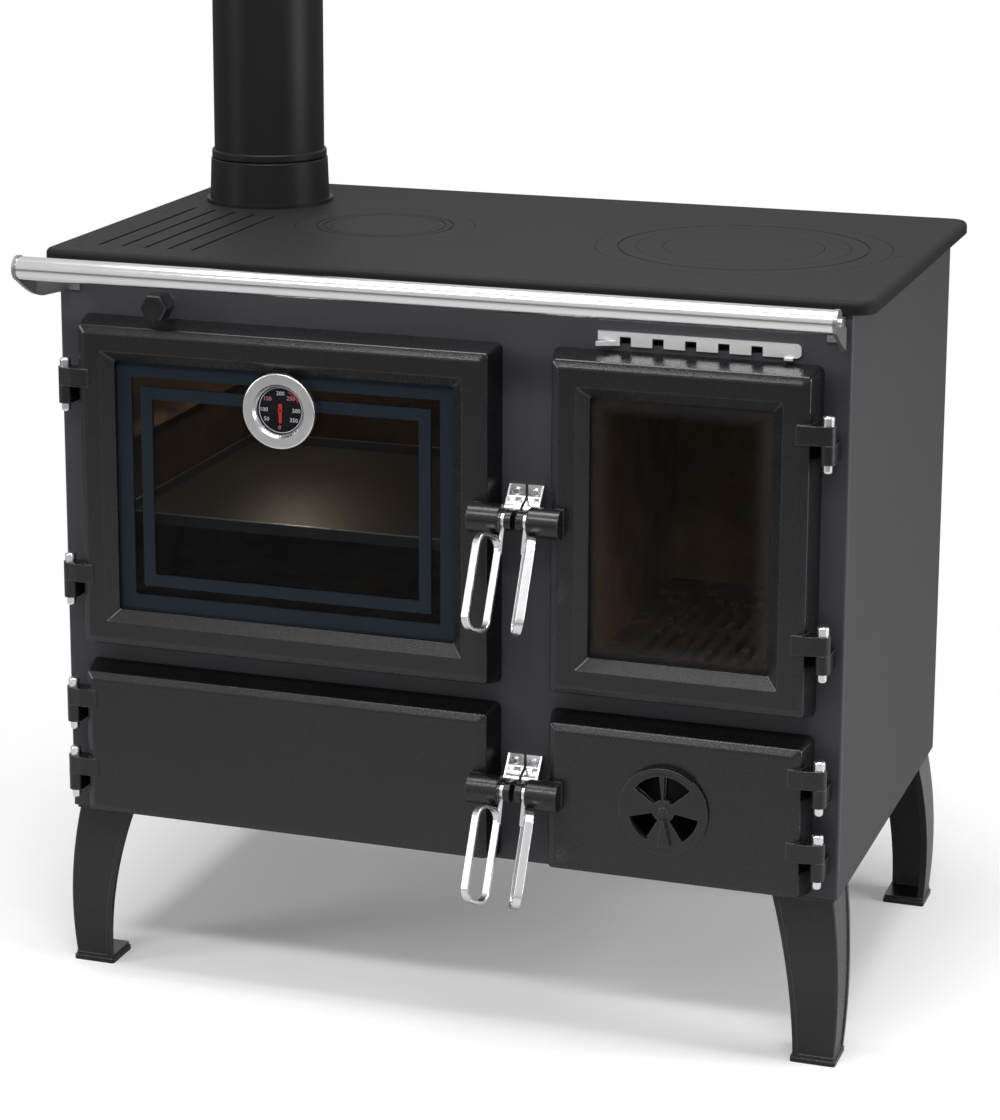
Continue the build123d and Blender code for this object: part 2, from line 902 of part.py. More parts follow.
with BuildPart() as corner_leg:
    add(leg_outer.part)
    corner_edges = corner_leg.edges().sort_by(lambda edge: edge.center().X + edge.center().Y)
    fillet(corner_edges[0], leg_corner_radius)
    add(leg_edge_beads.part)
    add(leg_top_beads.part)
    add(leg_hollow.part, mode=Mode.SUBTRACT)
    for bottom, height, proud in (
        (0, leg_pad_height, leg_pad_proud),
        (leg_pad_height, leg_step_height, leg_step_proud),
    ):
        pad_width = leg_foot_width + 2 * proud
        with BuildSketch(level(bottom)):
            with Locations((leg_foot_width / 2, leg_foot_width / 2)):
                RectangleRounded(pad_width, pad_width, leg_pad_radius)
        extrude(amount=height)
    flange_start = leg_top_inset + leg_wall / 2
    flange_width = leg_top_width - leg_wall / 2
    with BuildSketch(level(base_z)):
        with Locations((flange_start + flange_width / 2, flange_start + flange_width / 2)):
            Rectangle(flange_width, flange_width)
    extrude(amount=-leg_flange_thickness)

with BuildPart() as leg_front_left:
    with Locations((-half_width, front_y)):
        add(corner_leg.part)
finish(leg_front_left, "leg_front_left")

right_hand_leg = mirror(corner_leg.part, about=Plane.YZ)
with BuildPart() as leg_front_right:
    with Locations((half_width, front_y)):
        add(right_hand_leg)
finish(leg_front_right, "leg_front_right")

rear_left_corner = mirror(corner_leg.part, about=Plane.XZ)
with BuildPart() as leg_rear_left:
    with Locations((-half_width, back_y)):
        add(rear_left_corner)
finish(leg_rear_left, "leg_rear_left")

rear_right_corner = mirror(right_hand_leg, about=Plane.XZ)
with BuildPart() as leg_rear_right:
    with Locations((half_width, back_y)):
        add(rear_right_corner)
finish(leg_rear_right, "leg_rear_right")

# ================================================================ hinges

with BuildPart() as hinge_lugs:
    for place in all_places:
        for joint_z in place.hinge_levels:
            with BuildSketch(level(joint_z - knuckle_height)):
                with Locations((place.pin_x, hinge_y)):
                    Circle(knuckle_radius)
                with Locations((place.pin_x, (hinge_y + front_y) / 2)):
                    Rectangle(2 * knuckle_radius, hinge_pin_standoff)
                with Locations((place.pin_x, hinge_y)):
                    Circle(hinge_pin_radius + hinge_pin_seat_clearance, mode=Mode.SUBTRACT)
            extrude(amount=knuckle_height)
finish(hinge_lugs, "hinge_lugs")

pin_length = pin_drop + 2 * knuckle_height + pin_rise
with BuildPart() as hinge_pins:
    for place in all_places:
        for joint_z in place.hinge_levels:
            with BuildSketch(level(joint_z - knuckle_height - pin_drop)):
                with Locations((place.pin_x, hinge_y)):
                    Circle(hinge_pin_radius)
            extrude(amount=pin_length)
            with BuildSketch(level(joint_z + knuckle_height + hinge_pin_head_gap)):
                with Locations((place.pin_x, hinge_y)):
                    Circle(hinge_pin_head_radius)
            extrude(amount=pin_rise - hinge_pin_head_gap)
    pin_ends = hinge_pins.faces().filter_by(Plane.XY)
    lower_ends = pin_ends.filter_by(lambda face: face.normal_at().Z < 0)
    shank_ends = lower_ends.filter_by(lambda face: len(face.edges()) == 1)
    fillet(shank_ends.edges(), hinge_pin_end_radius)
    upper_ends = hinge_pins.faces().filter_by(lambda face: face.normal_at().Z > 0.99)
    fillet(upper_ends.edges(), hinge_pin_dome_radius)
finish(hinge_pins, "hinge_pins")

# ================================================================ doors


def door_casting(place):
    """A door's moulded front with its hinge arms and its latch boss, solid behind."""
    area = place.area
    side = place.hinge_side
    latch_side = place.latch_side
    with BuildPart() as door:
        for depth, inset, radius in (
            (door_gap, 0, door_back_corner_radius),
            (door_slope_depth, door_slope_inset, door_slope_corner_radius),
            (door_depth, door_bevel_inset, door_face_corner_radius),
        ):
            with BuildSketch(front(depth)):
                area_block(area.inset(inset), radius)
        loft(ruled=True)
        fillet(door.faces().sort_by(Axis.Y)[0].edges(), door_face_ridge_radius)
        slope_edges = door.edges().filter_by_position(
            Axis.Y, front_y - door_slope_depth, front_y - door_slope_depth
        )
        fillet(slope_edges, door_slope_ridge_radius)
        with BuildSketch(across_at(place.latch_edge - latch_side * latch_boss_reach)):
            with Locations((latch_y, place.latch_z)):
                Circle(latch_boss_radius)
        boss_length = latch_boss_reach + latch_boss_overhang
        extrude(amount=latch_side * boss_length)
        boss_end = door.faces().sort_by(Axis.X)[-1 if latch_side > 0 else 0]
        fillet(boss_end.edges(), latch_boss_edge_radius)
        for joint_z in place.hinge_levels:
            with BuildSketch(level(joint_z + knuckle_gap)):
                with Locations((place.pin_x, hinge_y)):
                    Circle(knuckle_radius)
                arm_front = front_y - door_depth - hinge_arm_proud
                arm_back = arm_front + hinge_arm_depth
                arm_end = place.hinge_edge - side * hinge_arm_reach
                with BuildLine():
                    Polyline(
                        (place.pin_x, arm_back),
                        (place.pin_x, hinge_y - knuckle_radius),
                        (place.hinge_edge, arm_front),
                        (arm_end, arm_front),
                        (arm_end, arm_back),
                        close=True,
                    )
                make_face()
            extrude(amount=knuckle_height)
            with BuildSketch(level(joint_z + knuckle_gap)):
                with Locations((place.pin_x, hinge_y)):
                    Circle(hinge_pin_radius + hinge_pin_running_clearance)
            extrude(amount=knuckle_height, mode=Mode.SUBTRACT)
        with BuildSketch(across_at(place.latch_edge + latch_side * latch_boss_overhang)):
            with Locations((latch_y, place.latch_z)):
                Circle(latch_spindle_radius + latch_spindle_clearance)
        extrude(amount=-latch_side * latch_bore_reach, mode=Mode.SUBTRACT)
    return door


def window_door(place):
    """A door with a glazed window, a retainer pocket and a seal groove in its back."""
    area = place.area
    casting = door_casting(place)
    with BuildPart() as door:
        add(casting.part)
        for depth, inset, radius in (
            (door_depth, moulding_inset, door_face_corner_radius),
            (door_depth - window_bevel_depth, window_inset, door_face_corner_radius),
        ):
            with BuildSketch(front(depth)):
                area_block(area.inset(inset), radius)
        loft(ruled=True, mode=Mode.SUBTRACT)
        framed_faces = door.faces().filter_by(lambda face: len(face.inner_wires()) == 1)
        moulding_face = framed_faces.sort_by(Axis.Y)[0]
        fillet(moulding_face.inner_wires()[0].edges(), window_ridge_radius)
        with BuildSketch(front(0)):
            area_block(area.inset(window_inset), door_face_corner_radius)
        extrude(amount=door_depth - window_bevel_depth, mode=Mode.SUBTRACT)
        with BuildSketch(front(0)):
            area_block(area.inset(glass_inset - glass_clearance), pocket_radius)
        extrude(amount=glass_front, mode=Mode.SUBTRACT)
        with BuildSketch(front(0)):
            area_block(area.inset(retainer_inset), pocket_radius)
        extrude(amount=glass_back, mode=Mode.SUBTRACT)
        with BuildSketch(front(0)):
            area_block(area.inset(seal_inset), pocket_radius)
            area_block(area.inset(seal_inset + seal_width), pocket_radius, mode=Mode.SUBTRACT)
        extrude(amount=door_gap + seal_depth, mode=Mode.SUBTRACT)
    return door


def hollow_door(place):
    """A plain-fronted door, hollow behind."""
    casting = door_casting(place)
    with BuildPart() as door:
        add(casting.part)
        with BuildSketch(front(0)):
            area_block(place.area.inset(door_rim_width), pocket_radius)
        extrude(amount=door_depth - door_wall, mode=Mode.SUBTRACT)
    return door


def door_seal(area):
    """A rope in the groove in a door's back, as close to the panel as it can stay free of it."""
    with BuildPart() as seal:
        with BuildSketch(front(seal_clearance)):
            area_block(area.inset(seal_inset), pocket_radius)
            area_block(area.inset(seal_inset + seal_width), pocket_radius, mode=Mode.SUBTRACT)
        extrude(amount=door_gap + seal_depth - seal_clearance)
        fillet(seal.faces().sort_by(Axis.Y)[-1].edges(), seal_edge_radius * 0.8)
    return seal


def glass_retainer(area):
    """A flat frame that holds the glass, riveted to the door round its edge."""
    outline = area.inset(retainer_inset + retainer_clearance)
    rivets = outline.inset(retainer_rivet_inset)
    columns = round(rivets.width / retainer_rivet_pitch)
    rows = round(rivets.height / retainer_rivet_pitch)
    with BuildPart() as retainer:
        with BuildSketch(front(glass_back)):
            area_block(outline, pocket_radius)
            area_block(outline.inset(retainer_width), pocket_radius, mode=Mode.SUBTRACT)
        extrude(amount=-retainer_thickness)
        with BuildSketch(front(glass_back - retainer_thickness)):
            with Locations((outline.x, outline.z)):
                with GridLocations(rivets.width / columns, rivets.height, columns + 1, 2):
                    Circle(retainer_rivet_radius)
                with GridLocations(rivets.width, rivets.height / rows, 2, rows + 1):
                    Circle(retainer_rivet_radius)
        extrude(amount=-retainer_rivet_height)
        rivet_faces = retainer.faces().filter_by(Axis.Y).group_by(Axis.Y)[-1]
        fillet(rivet_faces.edges(), retainer_rivet_height / 2)
    return retainer


def window_glass(area):
    """A flat pane."""
    with BuildPart() as pane:
        with BuildSketch(front(glass_back)):
            area_block(area.inset(glass_inset), pocket_radius)
        extrude(amount=glass_thickness)
    return pane


oven_door = window_door(oven_place)
finish(oven_door, "oven_door")

oven_door_seal = door_seal(oven_area)
finish(oven_door_seal, "oven_door_seal")

oven_glass_retainer = glass_retainer(oven_area)
finish(oven_glass_retainer, "oven_glass_retainer")

thermometer_x = oven_area.x
thermometer_z = oven_area.top - thermometer_below_door_top
oven_pane = window_glass(oven_area)
with BuildPart() as oven_glass:
    add(oven_pane.part)
    with BuildSketch(front(glass_back)):
        with Locations((thermometer_x, thermometer_z)):
            Circle(stem_radius + stem_clearance)
    extrude(amount=glass_thickness, mode=Mode.SUBTRACT)
finish(oven_glass, "oven_glass")

fire_door = window_door(fire_place)
finish(fire_door, "fire_door")

fire_door_seal = door_seal(fire_area)
finish(fire_door_seal, "fire_door_seal")

fire_glass_retainer = glass_retainer(fire_area)
finish(fire_glass_retainer, "fire_glass_retainer")

fire_glass = window_glass(fire_area)
finish(fire_glass, "fire_glass")

storage_door = hollow_door(storage_place)
finish(storage_door, "storage_door")

# The ash door has ports behind its air wheel
air_wheel_x = ash_area.x - air_wheel_left_of_middle
air_wheel_z = ash_area.z
up = 90.0
down = -90.0
port_angles = (
    up - air_port_upper_angle,
    up + air_port_upper_angle,
    up - air_port_lower_angle,
    up + air_port_lower_angle,
)


def air_openings(turn):
    """The four air openings, turned by this angle."""
    return [
        ring_sector(
            air_wheel_x,
            air_wheel_z,
            air_port_inner_radius,
            air_port_outer_radius,
            angle + turn,
            air_port_half_angle,
        )
        for angle in port_angles
    ]


door_ports = air_openings(0)
ash_casting = hollow_door(ash_place)
with BuildPart() as ash_door:
    add(ash_casting.part)
    with BuildSketch(front(door_depth)):
        add(door_ports)
        with Locations((air_wheel_x, air_wheel_z)):
            Circle(air_spigot_radius + air_spigot_clearance)
    extrude(amount=-door_wall, mode=Mode.SUBTRACT)
finish(ash_door, "ash_door")

# ================================================================ latches


def latch_handle(place):
    """A looped strip handle on an eye plate beside the door's latch boss."""
    side = place.latch_side
    eye_x = place.latch_edge + side * (latch_boss_overhang + latch_gap)
    loop_x = eye_x + side * (latch_eye_thickness / 2 - handle_side_shift)
    hanging_point = Vector(loop_x, latch_y - handle_offset, place.latch_z)
    loop = handle_loop(hanging_point, side)
    near_arm = (
        hanging_point + handle_down() * neck_meets_handle - handle_across(side) * handle_half_width
    )
    neck_y = near_arm.Y - latch_y
    neck_z = near_arm.Z - place.latch_z
    neck_length = Vector(neck_y, neck_z).length
    with BuildPart() as handle:
        with BuildSketch(across_at(eye_x)):
            with Locations((latch_y, place.latch_z)):
                Circle(latch_eye_radius)
            with Locations((latch_y + neck_y / 2, place.latch_z + neck_z / 2)):
                SlotCenterToCenter(neck_length, neck_width, rotation=degrees(atan2(neck_z, neck_y)))
            with Locations((latch_y, place.latch_z)):
                Circle(latch_spindle_radius + hinge_pin_seat_clearance, mode=Mode.SUBTRACT)
        extrude(amount=side * latch_eye_thickness)
        add(loop.part)
    return handle


def latch_cam(place):
    """A cam with a tooth that points back at the keeper, on the spindle that carries the handle."""
    side = place.latch_side
    cam_x = place.latch_edge + side * (latch_boss_overhang + 2 * latch_gap + latch_eye_thickness)
    spindle_end = place.latch_edge + side * (latch_boss_overhang - latch_spindle_reach)
    tooth_top = place.latch_z - cam_tooth_drop
    tooth_bottom = tooth_top - cam_tooth_height
    with BuildPart() as cam:
        with BuildSketch(across_at(cam_x)):
            with Locations((latch_y, place.latch_z)):
                Circle(latch_cam_radius)
            with BuildLine():
                Polyline(
                    (latch_y, tooth_top),
                    (latch_y + cam_tooth_reach, tooth_top),
                    (latch_y + cam_tooth_reach, tooth_bottom),
                    (latch_y + cam_tooth_reach / 4, place.latch_z - 0.95 * latch_cam_radius),
                    (latch_y, place.latch_z - 0.95 * latch_cam_radius),
                    close=True,
                )
            make_face()
        extrude(amount=side * latch_cam_thickness)
        with BuildSketch(across_at(cam_x)):
            with Locations((latch_y, place.latch_z)):
                Circle(latch_spindle_radius)
        extrude(amount=spindle_end - cam_x)
    return cam


for place, door_name in (
    (oven_place, "oven"),
    (fire_place, "fire"),
    (storage_place, "storage"),
    (ash_place, "ash"),
):
    finish(latch_handle(place), door_name + "_latch_handle")
    finish(latch_cam(place), door_name + "_latch_cam")

with BuildPart() as latch_keepers:
    for latch_z in (upper_latch_z, lower_latch_z):
        for side in (-1, 1):
            middle_x = stile_x + side * keeper_spacing / 2
            outer_x = middle_x + side * keeper_width / 2
            lip_middle = front_y - keeper_lip_standoff + keeper_thickness / 2
            with BuildSketch(across_at(outer_x)):
                with BuildLine():
                    FilletPolyline(
                        (front_y - keeper_thickness / 2, latch_z + keeper_top),
                        (front_y - keeper_thickness / 2, latch_z + keeper_bend_top),
                        (lip_middle, latch_z + keeper_lip_top),
                        (lip_middle, latch_z + keeper_lip_bottom),
                        radius=keeper_bend_radius,
                    )
                trace(line_width=keeper_thickness)
            extrude(amount=-side * keeper_width)
            with BuildSketch(across_at(outer_x)):
                with BuildLine():
                    Polyline(
                        (front_y, latch_z + keeper_top),
                        (front_y - keeper_thickness, latch_z + keeper_top),
                        (lip_middle, latch_z + keeper_lip_top),
                        (lip_middle, latch_z + keeper_lip_bottom),
                        (front_y, latch_z + keeper_lip_bottom),
                        close=True,
                    )
                make_face()
            extrude(amount=-side * keeper_web_thickness)
    with BuildSketch(front(0)):
        with Locations(keeper_rivet_places):
            Circle(rivet_radius)
    extrude(amount=keeper_thickness, mode=Mode.SUBTRACT)
finish(latch_keepers, "latch_keepers")

with BuildPart() as keeper_rivets:
    with BuildSketch(front(keeper_thickness)):
        with Locations(keeper_rivet_places):
            Circle(rivet_head_radius)
    extrude(amount=rivet_head_height)
    head_edges = keeper_rivets.faces().group_by(Axis.Y)[0].edges()
    fillet(head_edges, 0.9 * rivet_head_height)
    with BuildSketch(front(keeper_thickness)):
        with Locations(keeper_rivet_places):
            Circle(rivet_radius)
    extrude(amount=-keeper_thickness - panel_thickness)
    with BuildSketch(front(-panel_thickness)):
        with Locations(keeper_rivet_places):
            Circle(rivet_tail_radius)
    extrude(amount=-rivet_tail_height)
finish(keeper_rivets, "keeper_rivets")

# ================================================================ oven thermometer

case_top = glass_front + thermometer_body_depth
bezel_top = case_top + thermometer_bezel_depth
dial_back = case_top - thermometer_seat_depth
lens_back = case_top + lens_seat_height
lens_seat_radius = thermometer_bore_radius + lens_ledge
needle_back = dial_back + dial_thickness + needle_float

with BuildPart() as thermometer_case:
    with BuildSketch(turning_plane(thermometer_x, thermometer_z)):
        with BuildLine():
            Polyline(
                (0, glass_front - stem_reach),
                (stem_radius, glass_front - stem_reach),
                (stem_radius, glass_front),
                (thermometer_body_radius, glass_front),
                (thermometer_body_radius, case_top),
                (thermometer_radius, case_top),
                (thermometer_radius, bezel_top),
                (thermometer_rim_radius, bezel_top),
                (lens_seat_radius, lens_back + lens_thickness),
                (lens_seat_radius, lens_back),
                (thermometer_bore_radius, lens_back),
                (thermometer_bore_radius, dial_back),
                (0, dial_back),
                close=True,
            )
        make_face()
    revolve(axis=turning_axis(thermometer_x, thermometer_z))
    round_edges = thermometer_case.edges().filter_by(GeomType.CIRCLE)
    outer_edges = round_edges.filter_by(lambda edge: edge.radius > thermometer_body_radius + 0.1)
    fillet(outer_edges.group_by(Axis.Y)[0], thermometer_edge_radius)
finish(thermometer_case, "thermometer_case")

with BuildPart() as thermometer_dial:
    with BuildSketch(front(dial_back)):
        with Locations((thermometer_x, thermometer_z)):
            Circle(thermometer_bore_radius - dial_clearance)
    extrude(amount=dial_thickness)
    with BuildSketch(front(dial_back)):
        with Locations((thermometer_x, thermometer_z)):
            Circle(needle_pin_radius)
    extrude(amount=needle_back + needle_thickness + needle_float - dial_back)
finish(thermometer_dial, "thermometer_dial")

with BuildPart() as thermometer_needle:
    with BuildSketch(front(needle_back)):
        with BuildLine():
            Polyline(
                (thermometer_x - needle_width / 2, thermometer_z + needle_tail),
                (thermometer_x + needle_width / 2, thermometer_z + needle_tail),
                (thermometer_x + needle_tip_width / 2, thermometer_z - needle_length),
                (thermometer_x - needle_tip_width / 2, thermometer_z - needle_length),
                close=True,
            )
        make_face()
        with Locations((thermometer_x, thermometer_z)):
            Circle(needle_hub_radius)
            Circle(needle_pin_radius + needle_running_clearance, mode=Mode.SUBTRACT)
    extrude(amount=needle_thickness)
finish(thermometer_needle, "thermometer_needle")

with BuildPart() as thermometer_lens:
    with BuildSketch(front(lens_back)):
        with Locations((thermometer_x, thermometer_z)):
            Circle(lens_seat_radius - dial_clearance)
    extrude(amount=lens_thickness)
finish(thermometer_lens, "thermometer_lens")

# ================================================================ air wheel

wheel_back = door_depth + air_wheel_gap
wheel_face = wheel_back + air_wheel_thickness
wheel_openings = air_openings(air_wheel_rest_turn)
wheel_rim = ring_sector(
    air_wheel_x,
    air_wheel_z,
    air_wheel_radius - air_rim_width,
    air_wheel_radius,
    up + air_rim_turn,
    air_rim_half_angle,
)
wheel_grip = ring_sector(
    air_wheel_x,
    air_wheel_z,
    air_grip_inner_radius,
    air_port_outer_radius,
    down + air_wheel_rest_turn,
    air_grip_half_angle,
)
spigot_tail_front = door_depth - door_wall - air_wheel_gap

with BuildPart() as air_wheel:
    with BuildSketch(front(wheel_back)):
        with Locations((air_wheel_x, air_wheel_z)):
            Circle(air_wheel_radius)
        add(wheel_openings, mode=Mode.SUBTRACT)
    extrude(amount=air_wheel_thickness)
    with BuildSketch(front(wheel_face)):
        with Locations((air_wheel_x, air_wheel_z)):
            Circle(air_hub_radius)
    extrude(amount=air_hub_height)
    with BuildSketch(front(wheel_face)):
        add(wheel_rim)
    extrude(amount=air_rim_height)
    with BuildSketch(front(wheel_face)):
        add(wheel_grip)
    extrude(amount=air_grip_height)
    with BuildSketch(front(wheel_back)):
        with Locations((air_wheel_x, air_wheel_z)):
            Circle(air_spigot_radius)
    extrude(amount=spigot_tail_front - wheel_back)
    with BuildSketch(front(spigot_tail_front)):
        with Locations((air_wheel_x, air_wheel_z)):
            Circle(air_spigot_tail_radius)
    extrude(amount=-air_spigot_tail_height)
finish(air_wheel, "air_wheel")

# ================================================================ air slide

washer_front = -panel_thickness - air_slide_gap
stop_tab_end = air_slide_end - air_stop_tab_inset
stop_tab_bottom = air_slide_area.bottom - air_stop_tab_drop
stop_tab_area = Area(
    stop_tab_end - air_stop_tab_width,
    stop_tab_end,
    stop_tab_bottom,
    stop_tab_bottom + air_slide_thickness,
)
finger_end = air_slide_start + air_finger_length
finger_area = Area(
    air_slide_start,
    finger_end,
    air_slide_area.bottom,
    air_slide_area.bottom + air_finger_height,
)
strip_back = front_y - air_slide_gap
strip_face = strip_back - air_slide_thickness
with BuildPart() as air_slide:
    with BuildSketch(front(air_slide_gap)) as strip:
        area_block(air_slide_area)
        right_corners = strip.vertices().group_by(Axis.X)[-1]
        fillet(right_corners, air_slide_end_radius)
        with Locations([(x, air_slide_bottom + air_slot_height / 2) for x in air_slot_columns]):
            Rectangle(air_slot_width, air_slot_height, mode=Mode.SUBTRACT)
        with Locations((finger_area.x, finger_area.z)):
            Rectangle(finger_area.width, finger_area.height, mode=Mode.SUBTRACT)
    extrude(amount=air_slide_thickness)
    with BuildSketch(level(finger_area.bottom)):
        with BuildLine():
            Polyline(
                (finger_end, strip_back),
                (finger_end, strip_face),
                (air_slide_start, strip_face - air_finger_reach),
                (air_slide_start, strip_back - air_finger_reach),
                close=True,
            )
        make_face()
    extrude(amount=air_finger_height)
    with BuildSketch(front(air_slide_gap)):
        area_block(stop_tab_area)
    extrude(amount=air_stop_tab_reach)
    with BuildSketch(front(air_slide_gap)):
        with Locations(air_stud_places):
            Circle(air_stud_radius)
    extrude(amount=washer_front - air_slide_gap)
    with BuildSketch(front(washer_front)):
        with Locations(air_stud_places):
            Circle(air_stud_washer_radius)
    extrude(amount=-air_stud_washer_thickness)
finish(air_slide, "air_slide")

# ================================================================ smoke damper

oven_roof = oven_inside.top + sheet_thickness
damper_plate_y = front_y + damper_plate_from_front
damper_plate_bottom = oven_roof + damper_plate_clearance

with BuildPart() as damper_rod:
    with BuildSketch(front(damper_knob_standoff + damper_knob_bore_depth)):
        with Locations((damper_x, damper_z)):
            Circle(damper_rod_radius)
    extrude(amount=-damper_knob_standoff - damper_knob_bore_depth - damper_plate_from_front)
    with BuildSketch(level(damper_plate_bottom)):
        with Locations((damper_x, damper_plate_y + damper_plate_thickness / 2)):
            Rectangle(damper_plate_width, damper_plate_thickness)
    extrude(amount=damper_plate_height)
finish(damper_rod, "damper_rod")

with BuildPart() as damper_knob:
    with BuildSketch(front(damper_knob_standoff)):
        with Locations((damper_x, damper_z)):
            RegularPolygon(damper_knob_across_flats / 2, 6, major_radius=False)
    extrude(amount=damper_knob_thickness)
    chamfer(damper_knob.faces().sort_by(Axis.Y)[0].edges(), damper_knob_edge)
    with BuildSketch(front(damper_knob_standoff)):
        with Locations((damper_x, damper_z)):
            Circle(damper_rod_radius)
    extrude(amount=damper_knob_bore_depth, mode=Mode.SUBTRACT)
finish(damper_knob, "damper_knob")

# ================================================================ towel rail

rail_y = front_y - rail_standoff
rail_end_x = bracket_outer_x - bracket_thickness

with BuildPart() as towel_rail:
    with BuildSketch(across_at(-rail_end_x)):
        with Locations((rail_y, rail_z)):
            Circle(rail_radius)
    extrude(amount=2 * rail_end_x)
    with BuildSketch(across_at(-rail_end_x + rail_end_thickness)):
        with Locations((rail_y, rail_z)):
            Circle(rail_radius - rail_wall)
    extrude(amount=2 * (rail_end_x - rail_end_thickness), mode=Mode.SUBTRACT)
    for side in (-1, 1):
        with BuildSketch(across_at(side * rail_end_x)):
            with Locations((rail_y, rail_z)):
                Circle(rail_bolt_radius)
        extrude(amount=-side * rail_end_thickness, mode=Mode.SUBTRACT)
finish(towel_rail, "towel_rail")


def rail_bracket(side):
    """A cast arm from the panel's face to the rail's end, bent inwards to its foot."""
    end_x = side * (bracket_outer_x - bracket_thickness / 2)
    arm_x = end_x - side * bracket_inset
    foot_y = front_y - bracket_thickness / 2
    foot_outer = arm_x + side * bracket_thickness / 2
    with BuildPart() as bracket:
        with BuildSketch(level(rail_z - bracket_foot_bottom)):
            with BuildLine():
                FilletPolyline(
                    (end_x, rail_y - bracket_disc_radius),
                    (end_x, front_y - bracket_bend_start),
                    (arm_x, front_y - bracket_bend_end),
                    (arm_x, front_y),
                    radius=bracket_bend_radius,
                )
            trace(line_width=bracket_thickness)
            with Locations((foot_outer - side * bracket_foot_width / 2, foot_y)):
                Rectangle(bracket_foot_width, bracket_thickness)
        extrude(amount=bracket_foot_bottom + bracket_disc_radius)
        with BuildSketch(across_at(-half_width - 2 * rail_radius)):
            with BuildLine():
                lower = Spline(
                    (rail_y - 0.35 * bracket_disc_radius, rail_z - 0.93 * bracket_disc_radius),
                    (rail_y + bracket_throat, rail_z - bracket_foot_bottom + bracket_throat_rise),
                    (rail_y + bracket_belly, rail_z - bracket_foot_bottom + 1.0),
                    (front_y, rail_z - bracket_foot_bottom),
                )
                upper = Spline(
                    (rail_y + 0.95 * bracket_disc_radius, rail_z - 0.3 * bracket_disc_radius),
                    (rail_y + bracket_back, rail_z - bracket_foot_top - bracket_back_drop),
                    (front_y, rail_z - bracket_foot_top),
                )
                Line(lower @ 0, upper @ 0)
                Line(lower @ 1, upper @ 1)
            make_face()
            with Locations((rail_y, rail_z)):
                Circle(bracket_disc_radius)
        extrude(amount=body_width + 4 * rail_radius, mode=Mode.INTERSECT)
        with BuildSketch(front(bracket_thickness)):
            with Locations((side * bracket_foot_x, rail_bolt_z)):
                Circle(rail_bolt_radius)
        extrude(amount=-bracket_thickness, mode=Mode.SUBTRACT)
        with BuildSketch(across_at(side * bracket_outer_x)):
            with Locations((rail_y, rail_z)):
                Circle(rail_bolt_radius)
        extrude(amount=-side * bracket_thickness, mode=Mode.SUBTRACT)
    return bracket


rail_bracket_left = rail_bracket(-1)
finish(rail_bracket_left, "rail_bracket_left")

rail_bracket_right = rail_bracket(1)
finish(rail_bracket_right, "rail_bracket_right")

with BuildPart() as rail_screws:
    with BuildSketch(front(bracket_thickness)):
        with Locations(rail_bolt_places):
            Circle(rail_bolt_head_radius)
    extrude(amount=rail_bolt_head_height)
    fillet(rail_screws.faces().group_by(Axis.Y)[0].edges(), 0.6 * rail_bolt_head_height)
    with BuildSketch(front(bracket_thickness)):
        with Locations(rail_bolt_places):
            Circle(rail_bolt_radius)
    extrude(amount=-rail_bolt_length)
    for side in (-1, 1):
        with BuildSketch(across_at(side * bracket_outer_x)):
            with Locations((rail_y, rail_z)):
                Circle(rail_bolt_head_radius)
        extrude(amount=side * rail_bolt_head_height)
        with BuildSketch(across_at(side * bracket_outer_x)):
            with Locations((rail_y, rail_z)):
                Circle(rail_bolt_radius)
        extrude(amount=-side * rail_end_screw_length)
finish(rail_screws, "rail_screws")

# ================================================================ housings behind the doors

inner_front = front(-panel_thickness)

with BuildPart() as oven_liner:
    with BuildSketch(inner_front):
        area_block(
            Area(
                oven_inside.left - oven_flange,
                oven_inside.right + oven_flange,
                oven_inside.bottom - sheet_thickness,
                oven_inside.top + oven_flange,
            )
        )
    extrude(amount=-sheet_thickness)
    with BuildSketch(inner_front):
        area_block(oven_inside.inset(-sheet_thickness))
    extrude(amount=-oven_depth)
    with BuildSketch(inner_front):
        area_block(oven_inside)
    extrude(amount=sheet_thickness - oven_depth, mode=Mode.SUBTRACT)
finish(oven_liner, "oven_liner")

with BuildPart() as oven_runners:
    for side in (-1, 1):
        wall_x = oven_inside.x + side * oven_inside.width / 2
        for index in range(runner_count):
            runner_z = oven_inside.bottom + first_runner_height + index * runner_pitch
            with BuildSketch(front(-panel_thickness - runner_setback)):
                with BuildLine():
                    Polyline(
                        (wall_x, runner_z),
                        (wall_x - side * runner_width, runner_z),
                        (wall_x - side * runner_width, runner_z - runner_thickness),
                        (wall_x - side * runner_thickness, runner_z - runner_thickness),
                        (wall_x - side * runner_thickness, runner_z - runner_height),
                        (wall_x, runner_z - runner_height),
                        close=True,
                    )
                make_face()
            extrude(amount=runner_setback + sheet_thickness - oven_depth)
finish(oven_runners, "oven_runners")

tray_z = oven_inside.bottom + first_runner_height + tray_level * runner_pitch + tray_rest_gap
tray_width = oven_inside.width - 2 * tray_side_gap
tray_y = inner_y + tray_setback + tray_depth / 2
with BuildPart() as oven_tray:
    with BuildSketch(level(tray_z)):
        with Locations((oven_inside.x, tray_y)):
            RectangleRounded(tray_width, tray_depth, tray_corner_radius)
    extrude(amount=tray_height)
    with BuildSketch(level(tray_z + tray_wall)):
        with Locations((oven_inside.x, tray_y)):
            RectangleRounded(
                tray_width - 2 * tray_wall,
                tray_depth - 2 * tray_wall,
                tray_corner_radius - tray_wall,
            )
    extrude(amount=tray_height, mode=Mode.SUBTRACT)
finish(oven_tray, "oven_tray")

